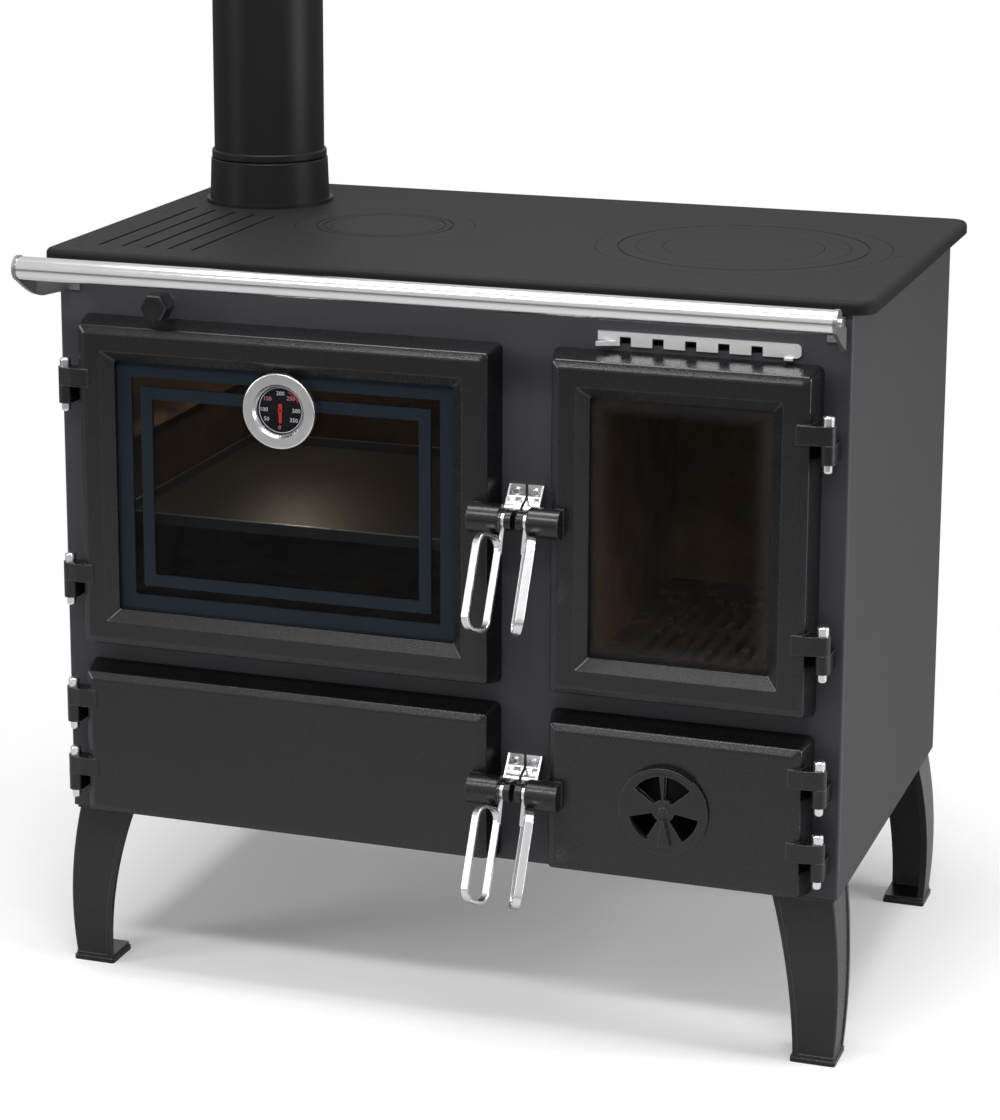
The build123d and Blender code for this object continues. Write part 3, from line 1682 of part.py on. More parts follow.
# One welded frame: its outer walls carry the oven, its right-hand walls the firebox floor
fire_floor_top = fire_inside.bottom - fire_floor_below_sill
fire_floor_bottom = fire_floor_top - fire_floor_thickness
oven_bottom = oven_inside.bottom - sheet_thickness
storage_shell = storage_inside.inset(-sheet_thickness)
ash_shell = ash_inside.inset(-sheet_thickness)
storage_outline = Area(storage_shell.left, storage_shell.right, floor_top, oven_bottom)
ash_outline = Area(ash_shell.left, ash_shell.right, floor_top, fire_floor_bottom)
link_outline = Area(storage_shell.right, ash_shell.left, floor_top, floor_top + sheet_thickness)
storage_foot = Area(storage_inside.left, storage_inside.right, floor_top, storage_shell.bottom)
storage_loft = Area(storage_inside.left, storage_inside.right, storage_shell.top, oven_bottom)
ash_foot = Area(ash_inside.left, ash_inside.right, floor_top, ash_shell.bottom)
ash_space = Area(ash_inside.left, ash_inside.right, ash_inside.bottom, fire_floor_bottom)

with BuildPart() as lower_housing:
    with BuildSketch(inner_front):
        area_block(storage_outline)
        area_block(ash_outline)
        area_block(link_outline)
    extrude(amount=-housing_depth)
    with BuildSketch(inner_front):
        area_block(storage_foot)
        area_block(storage_loft)
        area_block(ash_foot)
    extrude(amount=-housing_depth, mode=Mode.SUBTRACT)
    with BuildSketch(inner_front):
        area_block(storage_inside)
        area_block(ash_space)
    extrude(amount=sheet_thickness - housing_depth, mode=Mode.SUBTRACT)
finish(lower_housing, "lower_housing")

# ================================================================ firebox

brick_left = fire_inside.left - door_gap - brick_thickness
brick_right = fire_inside.right + door_gap + brick_thickness
fire_floor_depth = fire_depth + brick_thickness
fire_floor_middle = (brick_left + brick_right) / 2
grate_width = fire_inside.width - 2 * grate_side_margin
grate_slot_field = grate_width - 2 * grate_slot_side_margin
grate_slot_columns = int(grate_slot_field / grate_slot_column_pitch)
grate_y = inner_y + grate_from_front + grate_depth / 2
grate_seat_z = fire_floor_top - grate_thickness

with BuildPart() as fire_floor:
    with BuildSketch(level(fire_floor_bottom)):
        with Locations((fire_floor_middle, inner_y + fire_floor_depth / 2)):
            Rectangle(brick_right - brick_left, fire_floor_depth)
        with Locations((fire_inside.x, grate_y)):
            Rectangle(
                grate_width - 2 * grate_ledge, grate_depth - 2 * grate_ledge, mode=Mode.SUBTRACT
            )
    extrude(amount=fire_floor_thickness)
    with BuildSketch(level(grate_seat_z)):
        with Locations((fire_inside.x, grate_y)):
            Rectangle(grate_width, grate_depth)
    extrude(amount=grate_thickness, mode=Mode.SUBTRACT)
finish(fire_floor, "fire_floor")

with BuildPart() as fire_grate:
    with BuildSketch(level(grate_seat_z)):
        with Locations((fire_inside.x, grate_y)):
            Rectangle(grate_width - 2 * grate_clearance, grate_depth - 2 * grate_clearance)
            with GridLocations(
                grate_slot_column_pitch, grate_slot_row_pitch, grate_slot_columns, grate_slot_rows
            ):
                SlotOverall(
                    grate_slot_length, grate_slot_width, rotation=90, mode=Mode.SUBTRACT
                )
    extrude(amount=grate_thickness)
finish(fire_grate, "fire_grate")

with BuildPart() as fire_bricks:
    with BuildSketch(level(fire_floor_top)):
        for brick_x in (brick_left + brick_thickness / 2, brick_right - brick_thickness / 2):
            with Locations((brick_x, inner_y + fire_floor_depth / 2)):
                Rectangle(brick_thickness, fire_floor_depth)
        back_width = brick_right - brick_left - 2 * (brick_thickness + brick_gap)
        with Locations((fire_floor_middle, inner_y + fire_depth + brick_thickness / 2)):
            Rectangle(back_width, brick_thickness)
    extrude(amount=fire_inside.top + brick_above_opening - fire_floor_top)
finish(fire_bricks, "fire_bricks")

# ================================================================ ash drawer

drawer_z = ash_inside.bottom + drawer_rest_gap
drawer_width = ash_inside.width - 2 * drawer_side_gap
drawer_front_y = inner_y + drawer_setback
with BuildPart() as ash_drawer:
    with BuildSketch(level(drawer_z)):
        with Locations((ash_inside.x, drawer_front_y + drawer_depth / 2)):
            RectangleRounded(drawer_width, drawer_depth, drawer_corner_radius)
    extrude(amount=drawer_height)
    with BuildSketch(level(drawer_z + drawer_wall)):
        with Locations((ash_inside.x, drawer_front_y + drawer_depth / 2)):
            RectangleRounded(
                drawer_width - 2 * drawer_wall,
                drawer_depth - 2 * drawer_wall,
                drawer_corner_radius - drawer_wall,
            )
    extrude(amount=drawer_height, mode=Mode.SUBTRACT)
    with BuildSketch(level(drawer_z + drawer_height)):
        with Locations((ash_inside.x, drawer_front_y - drawer_lip_reach / 2)):
            Rectangle(drawer_lip_width, drawer_lip_reach)
    extrude(amount=-drawer_wall)
finish(ash_drawer, "ash_drawer")
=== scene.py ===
import math

import bmesh
import bpy
from mathutils import Matrix, Vector


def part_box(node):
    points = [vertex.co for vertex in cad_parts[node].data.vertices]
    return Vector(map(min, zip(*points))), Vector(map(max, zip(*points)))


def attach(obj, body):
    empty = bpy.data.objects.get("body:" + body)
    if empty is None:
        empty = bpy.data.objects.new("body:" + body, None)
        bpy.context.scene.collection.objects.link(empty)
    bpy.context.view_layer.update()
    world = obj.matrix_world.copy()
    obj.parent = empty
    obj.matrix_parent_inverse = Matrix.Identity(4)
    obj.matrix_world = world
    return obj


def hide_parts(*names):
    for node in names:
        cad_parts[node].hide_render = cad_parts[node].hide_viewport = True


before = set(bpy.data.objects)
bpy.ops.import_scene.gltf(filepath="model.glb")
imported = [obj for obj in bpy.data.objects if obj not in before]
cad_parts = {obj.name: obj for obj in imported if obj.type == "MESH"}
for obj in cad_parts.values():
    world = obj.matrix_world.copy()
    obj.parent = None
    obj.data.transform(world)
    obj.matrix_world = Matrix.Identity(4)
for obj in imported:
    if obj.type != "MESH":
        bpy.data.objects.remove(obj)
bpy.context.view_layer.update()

# ================================================================ how a finish is written


class Shade:
    """A number, colour or vector on its way through a finish's nodes."""

    def __init__(self, finish, socket):
        self.finish = finish
        self.socket = socket

    def _with(self, operation, other, swapped=False):
        pair = (other, self) if swapped else (self, other)
        return self.finish.node("ShaderNodeMath", {"operation": operation}, pair)

    def __add__(self, other):
        return self._with("ADD", other)

    __radd__ = __add__

    def __sub__(self, other):
        return self._with("SUBTRACT", other)

    def __rsub__(self, other):
        return self._with("SUBTRACT", other, swapped=True)

    def __mul__(self, other):
        return self._with("MULTIPLY", other)

    __rmul__ = __mul__

    def __truediv__(self, other):
        return self._with("DIVIDE", other)

    def __pow__(self, other):
        return self._with("POWER", other)

    def __abs__(self):
        return self.finish.node("ShaderNodeMath", {"operation": "ABSOLUTE"}, (self,))

    def least(self, other):
        return self._with("MINIMUM", other)

    def most(self, other):
        return self._with("MAXIMUM", other)

    def step(self, low, high):
        """0 below low and 1 above high, with a soft change between them."""
        return self.finish.node(
            "ShaderNodeMapRange",
            {"interpolation_type": "SMOOTHSTEP"},
            {"Value": self, "From Min": low, "From Max": high},
        )


class Finish:
    """A procedural material, named for the surface it is on."""

    def __init__(self, name):
        self.material = bpy.data.materials.new(name)
        self.material.use_nodes = True
        self.tree = self.material.node_tree
        self.tree.nodes.clear()
        self.place = self.node("ShaderNodeTexCoord", wanted="Object")
        self.x, self.y, self.z = self.parts(self.place)

    def node(self, kind, settings=None, values=(), wanted=None):
        """Adds a node, sets its settings, then its sockets, and returns the wanted output."""
        made = self.tree.nodes.new(kind)
        for setting, value in (settings or {}).items():
            setattr(made, setting, value)
        pairs = values.items() if isinstance(values, dict) else enumerate(values)
        for key, value in pairs:
            if isinstance(value, Shade):
                self.tree.links.new(value.socket, made.inputs[key])
            else:
                made.inputs[key].default_value = value
        return Shade(self, made.outputs[wanted or 0]) if made.outputs else None

    def parts(self, vector):
        split = self.node("ShaderNodeSeparateXYZ", values=(vector,))
        return [Shade(self, output) for output in split.socket.node.outputs]

    def stretched(self, x, y, z):
        """The place with each way scaled, for patterns that run along a surface."""
        return self.node(
            "ShaderNodeVectorMath", {"operation": "MULTIPLY"}, (self.place, (x, y, z))
        )

    def noise(self, scale, detail, roughness, place=None):
        """Soft mottling from 0 to 1, with this many spots to the metre."""
        return self.node(
            "ShaderNodeTexNoise",
            values={
                "Vector": place or self.place,
                "Scale": scale,
                "Detail": detail,
                "Roughness": roughness,
            },
        )

    def cells(self, scale):
        """How far the nearest of many scattered points lies, as a share of their spacing."""
        return self.node("ShaderNodeTexVoronoi", values={"Vector": self.place, "Scale": scale})

    def blend(self, first, second, share):
        """A colour between two colours."""
        mixed = self.node(
            "ShaderNodeMix",
            {"data_type": "RGBA"},
            {0: share, 6: self._rgba(first), 7: self._rgba(second)},
        )
        return Shade(self, mixed.socket.node.outputs[2])

    @staticmethod
    def _rgba(colour):
        return colour if isinstance(colour, Shade) else (*colour, 1.0)

    def bump(self, height, distance, strength, over=None):
        """The normal of a surface raised by height times distance, laid over another normal."""
        values = {"Height": height, "Distance": distance, "Strength": strength}
        if over is not None:
            values["Normal"] = over
        return self.node("ShaderNodeBump", values=values, wanted="Normal")

    def rounded(self, radius):
        """The normal that edges rounded to this radius have, and how near an edge a point is."""
        soft = self.node("ShaderNodeBevel", {"samples": bevel_samples}, {"Radius": radius})
        flat = self.node("ShaderNodeNewGeometry", wanted="Normal")
        alike = self.node(
            "ShaderNodeVectorMath", {"operation": "DOT_PRODUCT"}, (soft, flat), wanted="Value"
        )
        return soft, (1 - alike).step(0.004, 0.16)

    def line_at(self, depth, line):
        """0 before a printed line and 1 past it."""
        return depth.step(line - print_softness, line + print_softness)

    def surface(self, colour, roughness, metallic=0.0, normal=None, sheen=0.5):
        """An opaque surface. Sheen is how strongly it mirrors beside its colour."""
        values = {
            "Base Color": self._rgba(colour),
            "Roughness": roughness,
            "Metallic": metallic,
            "Specular IOR Level": sheen,
        }
        if normal is not None:
            values["Normal"] = normal
        return self.node("ShaderNodeBsdfPrincipled", values=values)

    def done(self, shader):
        self.node("ShaderNodeOutputMaterial", values=(shader,))
        return self.material


# ================================================================ finishes


def satin_casting(name):
    """Black enamelled casting: sand-cast grain under the enamel, and along its edges a lighter
    colour that is partly enamel rubbed thin and partly a painted highlight.
    """
    f = Finish(name)
    grain = f.noise(900, 2, 0.6)
    lumps = f.noise(210, 2, 0.55)
    drift = f.noise(9, 3, 0.5)
    sparkle = f.cells(700).step(0.30, 0.10)
    soft, edge = f.rounded(edge_rounding)
    # painted highlight: near every edge and ridge the enamel colour is blended towards light grey,
    # a highlight painted into the colour that also stands for enamel rubbed thin there
    wear_and_highlight = edge * (0.45 + grain * 0.55)
    enamel = f.blend((0.0022, 0.0022, 0.0026), (0.0080, 0.0080, 0.0092), grain * 0.5 + drift * 0.5)
    colour = f.blend(enamel, (0.150, 0.150, 0.155), wear_and_highlight * 0.8)
    rough = 0.20 + drift * 0.06 + grain * 0.08
    normal = f.bump(grain * 0.6 + lumps * 0.3 + drift + sparkle * 0.3, 0.00036, 0.35, over=soft)
    return f.done(f.surface(colour, rough, normal=normal))


def cooktop_casting(name, tint=1.0):
    """Rough machined and blackened cast iron."""
    f = Finish(name)
    grain = f.noise(1100, 3, 0.65)
    lumps = f.noise(300, 2, 0.5)
    drift = f.noise(5, 4, 0.55)
    pits = f.cells(520).step(0.0, 0.16)
    dark = tuple(tint * c for c in (0.004, 0.004, 0.0042))
    light = tuple(tint * c for c in (0.0125, 0.0125, 0.0128))
    colour = f.blend(dark, light, grain * 0.55 + drift * 0.45)
    rough = 0.60 + drift * 0.12 - grain * 0.08
    normal = f.bump(grain * 0.8 + lumps * 0.5 + pits * 0.35, 0.00035, 0.6)
    return f.done(f.surface(colour, rough, normal=normal, sheen=dull_sheen))


def sheet_paint(name, dark, light, roughness, speckle=0.35):
    """Heat paint sprayed on sheet steel: an even colour with a fine dry grain."""
    f = Finish(name)
    grain = f.noise(1300, 2, 0.6)
    fine = f.noise(420, 2, 0.5)
    drift = f.noise(3.2, 2, 0.5)
    colour = f.blend(dark, light, grain * speckle + fine * 0.25 + drift * (0.75 - speckle))
    rough = roughness + grain * 0.12 - drift * 0.05
    normal = f.bump(grain + fine * 0.5, 0.00012, 0.5)
    return f.done(f.surface(colour, rough, normal=normal, sheen=0.4))


def pipe_paint(name):
    """Satin paint on a rolled pipe, faintly streaked along its length."""
    f = Finish(name)
    grain = f.noise(1200, 2, 0.6)
    rolled = f.noise(6, 3, 0.5, place=f.stretched(4, 4, 0.6))
    colour = f.blend((0.0050, 0.0050, 0.0056), (0.0110, 0.0110, 0.0120), grain * 0.4 + rolled * 0.6)
    rough = 0.36 + rolled * 0.08
    normal = f.bump(grain, 0.00010, 0.4)
    return f.done(f.surface(colour, rough, normal=normal, sheen=dull_sheen))


def polished_steel(name, run=(1.0, 1.0, 1.0), tone=(0.80, 0.80, 0.81), roughness=0.12):
    """Bright steel with polishing lines that run along the piece."""
    f = Finish(name)
    lines = f.noise(900, 2, 0.6, place=f.stretched(*run))
    smears = f.noise(34, 3, 0.6)
    scratches = f.noise(2600, 1, 0.5, place=f.stretched(*run)).step(0.66, 0.74)
    colour = f.blend(tuple(0.84 * c for c in tone), tone, lines * 0.5 + smears * 0.5)
    rough = roughness + smears * 0.08 + lines * 0.05 + scratches * 0.08
    normal = f.bump(lines, 0.00004, 0.35)
    return f.done(f.surface(colour, rough, metallic=1.0, normal=normal))


def bracket_steel(name):
    """Satin steel bar, ground by hand."""
    f = Finish(name)
    lines = f.noise(700, 2, 0.6, place=f.stretched(1, 0.06, 1))
    smears = f.noise(40, 3, 0.6)
    colour = f.blend((0.17, 0.172, 0.178), (0.32, 0.322, 0.33), lines * 0.4 + smears * 0.6)
    rough = 0.30 + smears * 0.16
    normal = f.bump(lines, 0.00006, 0.4)
    return f.done(f.surface(colour, rough, metallic=0.9, normal=normal))


def liner_steel(name, tint=(0.150, 0.094, 0.056)):
    """Sheet steel browned by heat, with rolling marks and patches of soot."""
    f = Finish(name)
    drift = f.noise(4.5, 4, 0.6)
    rolled = f.noise(120, 2, 0.5, place=f.stretched(1, 0.12, 1))
    soot = f.noise(17, 4, 0.6).step(0.42, 0.75)
    cold = tuple(0.42 * c for c in tint)
    colour = f.blend(f.blend(cold, tint, drift.step(0.35, 0.7)), (0.010, 0.009, 0.009), soot * 0.6)
    rough = 0.36 + rolled * 0.14 + soot * 0.2
    normal = f.bump(rolled + drift, 0.00012, 0.4)
    return f.done(f.surface(colour, rough, metallic=0.55, normal=normal))


def tray_enamel(name):
    """Dark tray steel with a rubbed, brighter rim."""
    f = Finish(name)
    rim = f.z.step(tray_rim - 0.0016, tray_rim - 0.0003)
    wear_and_highlight = f.noise(60, 3, 0.6)
    drift = f.noise(8, 3, 0.55)
    base = f.blend((0.020, 0.020, 0.022), (0.050, 0.046, 0.043), drift)
    colour = f.blend(base, (0.62, 0.62, 0.62), rim * (0.65 + wear_and_highlight * 0.35))
    rough = 0.42 - rim * 0.18 + drift * 0.1
    normal = f.bump(drift + wear_and_highlight * 0.2, 0.0002, 0.3)
    return f.done(f.surface(colour, rough, metallic=0.15 + rim * 0.8, normal=normal))


def fire_clay(name):
    """Pale fire-clay slab: pitted, crazed, and sooted towards the top."""
    f = Finish(name)
    drift = f.noise(11, 5, 0.62)
    grit = f.noise(420, 3, 0.7)
    low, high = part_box("fire_bricks")
    rise = (f.z - low.z) / (high.z - low.z)
    soot = (rise * 0.55 + f.noise(6, 4, 0.6) * 0.75).step(0.35, 0.95)
    pits = f.cells(170).step(0.0, 0.2)
    clay = f.blend((0.26, 0.155, 0.085), (0.46, 0.32, 0.20), drift.step(0.3, 0.7))
    colour = f.blend(clay, (0.022, 0.017, 0.014), soot * 0.92)
    rough = 0.86 + grit * 0.1
    normal = f.bump(grit * 0.5 + pits * 0.5 + drift, 0.0009, 0.6)
    return f.done(f.surface(colour, rough, normal=normal))


def burnt_iron(name):
    """Grate iron with scale, rust bloom and ash in its hollows."""
    f = Finish(name)
    drift = f.noise(24, 5, 0.65)
    grit = f.noise(520, 3, 0.6)
    ash = f.noise(38, 3, 0.6).step(0.52, 0.72)
    scale = f.blend((0.018, 0.015, 0.014), (0.070, 0.036, 0.022), drift.step(0.4, 0.7))
    colour = f.blend(scale, (0.24, 0.23, 0.215), ash * 0.55)
    rough = 0.68 + grit * 0.2
    normal = f.bump(grit + drift, 0.0005, 0.7)
    return f.done(f.surface(colour, rough, normal=normal))


def braided_rope(name):
    """Black ceramic-fibre yarn."""
    f = Finish(name)
    yarn = f.noise(900, 3, 0.7)
    drift = f.noise(40, 2, 0.5)
    colour = f.blend((0.016, 0.016, 0.016), (0.062, 0.060, 0.057), yarn * 0.6 + drift * 0.4)
    normal = f.bump(yarn, 0.0003, 0.7)
    return f.done(f.surface(colour, 0.86 + yarn * 0.1, normal=normal))


def knob_plastic(name):
    """Gloss black phenolic, faintly orange-peeled and dusty."""
    f = Finish(name)
    peel = f.noise(340, 2, 0.5)
    dust = f.noise(90, 4, 0.6)
    colour = f.blend((0.006, 0.006, 0.0065), (0.014, 0.014, 0.015), dust)
    normal = f.bump(peel, 0.00006, 0.4)
    return f.done(f.surface(colour, 0.2 + dust * 0.12, normal=normal))


def window_edge_distance(f, node, inset):
    """How far a point lies inside a pane's visible outline, in metres."""
    low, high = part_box(node)
    middle = (low + high) / 2
    half_x = (high.x - low.x) / 2 - inset
    half_z = (high.z - low.z) / 2 - inset
    return (half_x - abs(f.x - middle.x)).least(half_z - abs(f.z - middle.z))


def clear_glass(f, tint, roughness, bend=1.16):
    """Clear glass that lets light straight through and mirrors more at a glance."""
    mirror = f.node("ShaderNodeBsdfGlossy", values={"Color": (1, 1, 1, 1), "Roughness": roughness})
    through = f.node("ShaderNodeBsdfTransparent", values={"Color": (*tint, 1.0)})
    glance = f.node("ShaderNodeFresnel", values={"IOR": bend})
    return f.node("ShaderNodeMixShader", values=(glance, through, mirror))


def oven_pane(name):
    """Oven glass with two printed bands round its edge and a clear line between them."""
    f = Finish(name)
    depth = window_edge_distance(f, "oven_glass", pane_cover)
    outer = 1 - f.line_at(depth, outer_band)
    inner = f.line_at(depth, inner_band_start) * (1 - f.line_at(depth, inner_band_end))
    smear = f.noise(7, 4, 0.6)
    print_colour = f.blend((0.0125, 0.0190, 0.0260), (0.0170, 0.0250, 0.0330), smear)
    print_coat = f.surface(print_colour, 0.14 + smear * 0.08, sheen=dull_sheen)
    glass = clear_glass(f, (0.62, 0.64, 0.65), 0.03)
    cover = (outer + inner).least(1.0) * 0.93
    return f.done(f.node("ShaderNodeMixShader", values=(cover, glass, print_coat)))


def fire_pane(name):
    """Ceramic glass, faintly amber, with a smoked edge."""
    f = Finish(name)
    depth = window_edge_distance(f, "fire_glass", pane_cover)
    haze = f.noise(16, 4, 0.6)
    smoke = (1 - depth.step(-0.001, 0.024)) * (0.25 + haze * 0.5)
    soot = f.surface(f.blend((0.012, 0.008, 0.006), (0.022, 0.014, 0.010), haze), 0.4 + haze * 0.2)
    glass = clear_glass(f, (0.84, 0.80, 0.74), 0.02)
    return f.done(f.node("ShaderNodeMixShader", values=(smoke * 0.9, glass, soot)))


def dial_lens(name):
    """Clear lens with a trace of dust."""
    f = Finish(name)
    dust = f.noise(140, 3, 0.6).step(0.55, 0.8)
    film = f.surface(f.blend((0.3, 0.3, 0.3), (0.5, 0.5, 0.5), dust), 0.5 + dust * 0.2)
    glass = clear_glass(f, (0.97, 0.97, 0.98), 0.02, bend=1.1)
    return f.done(f.node("ShaderNodeMixShader", values=(dust * 0.02, glass, film)))


def dial_print(name):
    """Matt black dial with a white ring near its edge and a short red arc inside it."""
    f = Finish(name)
    across = f.x - dial_centre.x
    rise = f.z - dial_centre.z
    radius = (across * across + rise * rise) ** 0.5
    ring = 1 - abs(radius - dial_ring_radius).step(0.00028, 0.00052)
    hot = 1 - abs(radius - hot_arc_radius).step(0.0006, 0.0008)
    hot = hot * (across / radius).step(0.38, 0.40) * (rise / radius).step(0.42, 0.44)
    paper = f.noise(1500, 2, 0.5)
    black = f.blend((0.004, 0.004, 0.005), (0.009, 0.009, 0.011), paper)
    inked = f.blend(black, (0.55, 0.02, 0.02), hot)
    colour = f.blend(inked, (0.62, 0.63, 0.66), ring)
    return f.done(f.surface(colour, 0.42 + paper * 0.15, sheen=0.1))


def printed(name, colour):
    """Screen-printed ink with a dry edge."""
    f = Finish(name)
    dry = f.noise(2200, 2, 0.6)
    tone = f.blend(tuple(0.78 * c for c in colour), colour, dry)
    return f.done(f.surface(tone, 0.45 + dry * 0.15))


def spun_steel(name, centre):
    """Steel turned on a lathe: fine rings round the dial's axis."""
    f = Finish(name)
    across = f.x - centre.x
    rise = f.z - centre.z
    radius = (across * across + rise * rise) ** 0.5
    outward = f.node("ShaderNodeCombineXYZ", values=(radius * lathe_lines, 0.0, 0.0))
    lines = f.noise(1.0, 2, 0.6, place=outward)
    smears = f.noise(60, 3, 0.6)
    colour = f.blend((0.62, 0.62, 0.63), (0.84, 0.84, 0.85), lines * 0.55 + smears * 0.45)
    normal = f.bump(lines, 0.00003, 0.5)
    return f.done(f.surface(colour, 0.20 + smears * 0.12, metallic=1.0, normal=normal))


# ================================================================ sizes the finishes share

bevel_samples = 6
dull_sheen = 0.12
print_softness = 0.0003
lathe_lines = 4200
edge_rounding = 0.0012
tray_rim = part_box("oven_tray")[1].z
pane_cover = 0.0075
outer_band = 0.018
inner_band_start = 0.0285
inner_band_end = 0.042
dial_low, dial_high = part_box("thermometer_dial")
dial_centre = (dial_low + dial_high) / 2
dial_ring_radius = 0.0246
hot_arc_radius = 0.0222

casting = satin_casting("satin_black_casting")
cooktop = cooktop_casting("blackened_cooktop")
rings = cooktop_casting("blackened_rings", tint=1.06)
front_paint = sheet_paint(
    "front_heat_paint",
    dark=(0.0250, 0.0256, 0.0300),
    light=(0.0400, 0.0410, 0.0480),
    roughness=0.46,
    speckle=0.2,
)
side_paint = sheet_paint(
    "side_heat_paint",
    dark=(0.020, 0.020, 0.020),
    light=(0.043, 0.043, 0.043),
    roughness=0.6,
)
pipe_finish = pipe_paint("satin_pipe_paint")
rail_steel = polished_steel("polished_rail", run=(0.02, 1.0, 1.0))
latch_steel = polished_steel("polished_latch", run=(1.0, 0.2, 0.05), roughness=0.17)
pin_steel = polished_steel("polished_pin", run=(1.0, 1.0, 0.1), roughness=0.15)
slide_steel = polished_steel(
    "polished_slide", run=(0.02, 1.0, 1.0), tone=(0.95, 0.95, 0.96), roughness=0.34
)
arm_steel = bracket_steel("ground_bracket")
liner = liner_steel("browned_liner")
housing = liner_steel("cold_housing", tint=(0.034, 0.030, 0.027))
drawer_steel = liner_steel("drawer_steel", tint=(0.050, 0.046, 0.042))

finishes = {
    "cooktop_plate": cooktop,
    "cooktop_screws": cooktop,
    "left_cooking_ring": rings,
    "left_cooking_lid": rings,
    "right_outer_ring": rings,
    "right_inner_ring": rings,
    "right_cooking_lid": rings,
    "flue_collar": pipe_finish,
    "flue_pipe": pipe_finish,
    "front_panel": front_paint,
    "side_panel_left": side_paint,
    "side_panel_right": side_paint,
    "back_panel": side_paint,
    "base_panel": side_paint,
    "leg_front_left": casting,
    "leg_front_right": casting,
    "leg_rear_left": casting,
    "leg_rear_right": casting,
    "hinge_lugs": casting,
    "hinge_pins": pin_steel,
    "oven_door": casting,
    "oven_glass_retainer": housing,
    "oven_glass": oven_pane("banded_oven_glass"),
    "fire_door": casting,
    "fire_glass_retainer": housing,
    "fire_glass": fire_pane("fire_glass"),
    "storage_door": casting,
    "ash_door": casting,
    "oven_latch_handle": latch_steel,
    "fire_latch_handle": latch_steel,
    "storage_latch_handle": latch_steel,
    "ash_latch_handle": latch_steel,
    "oven_latch_cam": casting,
    "fire_latch_cam": casting,
    "storage_latch_cam": casting,
    "ash_latch_cam": casting,
    "latch_keepers": latch_steel,
    "keeper_rivets": pin_steel,
    "thermometer_case": spun_steel("spun_bezel", dial_centre),
    "thermometer_dial": dial_print("dial_print"),
    "thermometer_needle": printed("needle_red", (0.62, 0.012, 0.014)),
    "thermometer_lens": dial_lens("dial_lens"),
    "air_wheel": casting,
    "air_slide": slide_steel,
    "damper_rod": pin_steel,
    "damper_knob": knob_plastic("knob_plastic"),
    "towel_rail": rail_steel,
    "rail_bracket_left": arm_steel,
    "rail_bracket_right": arm_steel,
    "rail_screws": pin_steel,
    "oven_liner": liner,
    "oven_runners": liner,
    "oven_tray": tray_enamel("tray_enamel"),
    "lower_housing": housing,
    "fire_floor": burnt_iron("burnt_floor"),
    "fire_grate": burnt_iron("burnt_grate"),
    "fire_bricks": fire_clay("fire_clay"),
    "ash_drawer": drawer_steel,
}
for node_name, finish in finishes.items():
    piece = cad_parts[node_name]
    piece.data.materials.clear()
    piece.data.materials.append(finish)

# ================================================================ door seals


def rounded_loop(name, half_width, half_height, corner, middle):
    """A closed curve round a door's opening, upright and with rounded corners."""
    points = []
    for turn, (side, rise) in enumerate(((1, 1), (-1, 1), (-1, -1), (1, -1))):
        for step in range(corner_steps + 1):
            angle = math.pi / 2 * (turn + step / corner_steps)
            x = middle.x + side * (half_width - corner) + corner * math.cos(angle)
            z = middle.z + rise * (half_height - corner) + corner * math.sin(angle)
            points.append((x, middle.y, z))
    curve = bpy.data.curves.new(name, "CURVE")
    curve.dimensions = "3D"
    line = curve.splines.new("POLY")
    line.points.add(len(points) - 1)
    for point, place in zip(line.points, points):
        point.co = (*place, 1.0)
    line.use_cyclic_u = True
    made = bpy.data.objects.new(name, curve)
    bpy.context.scene.collection.objects.link(made)
    return made


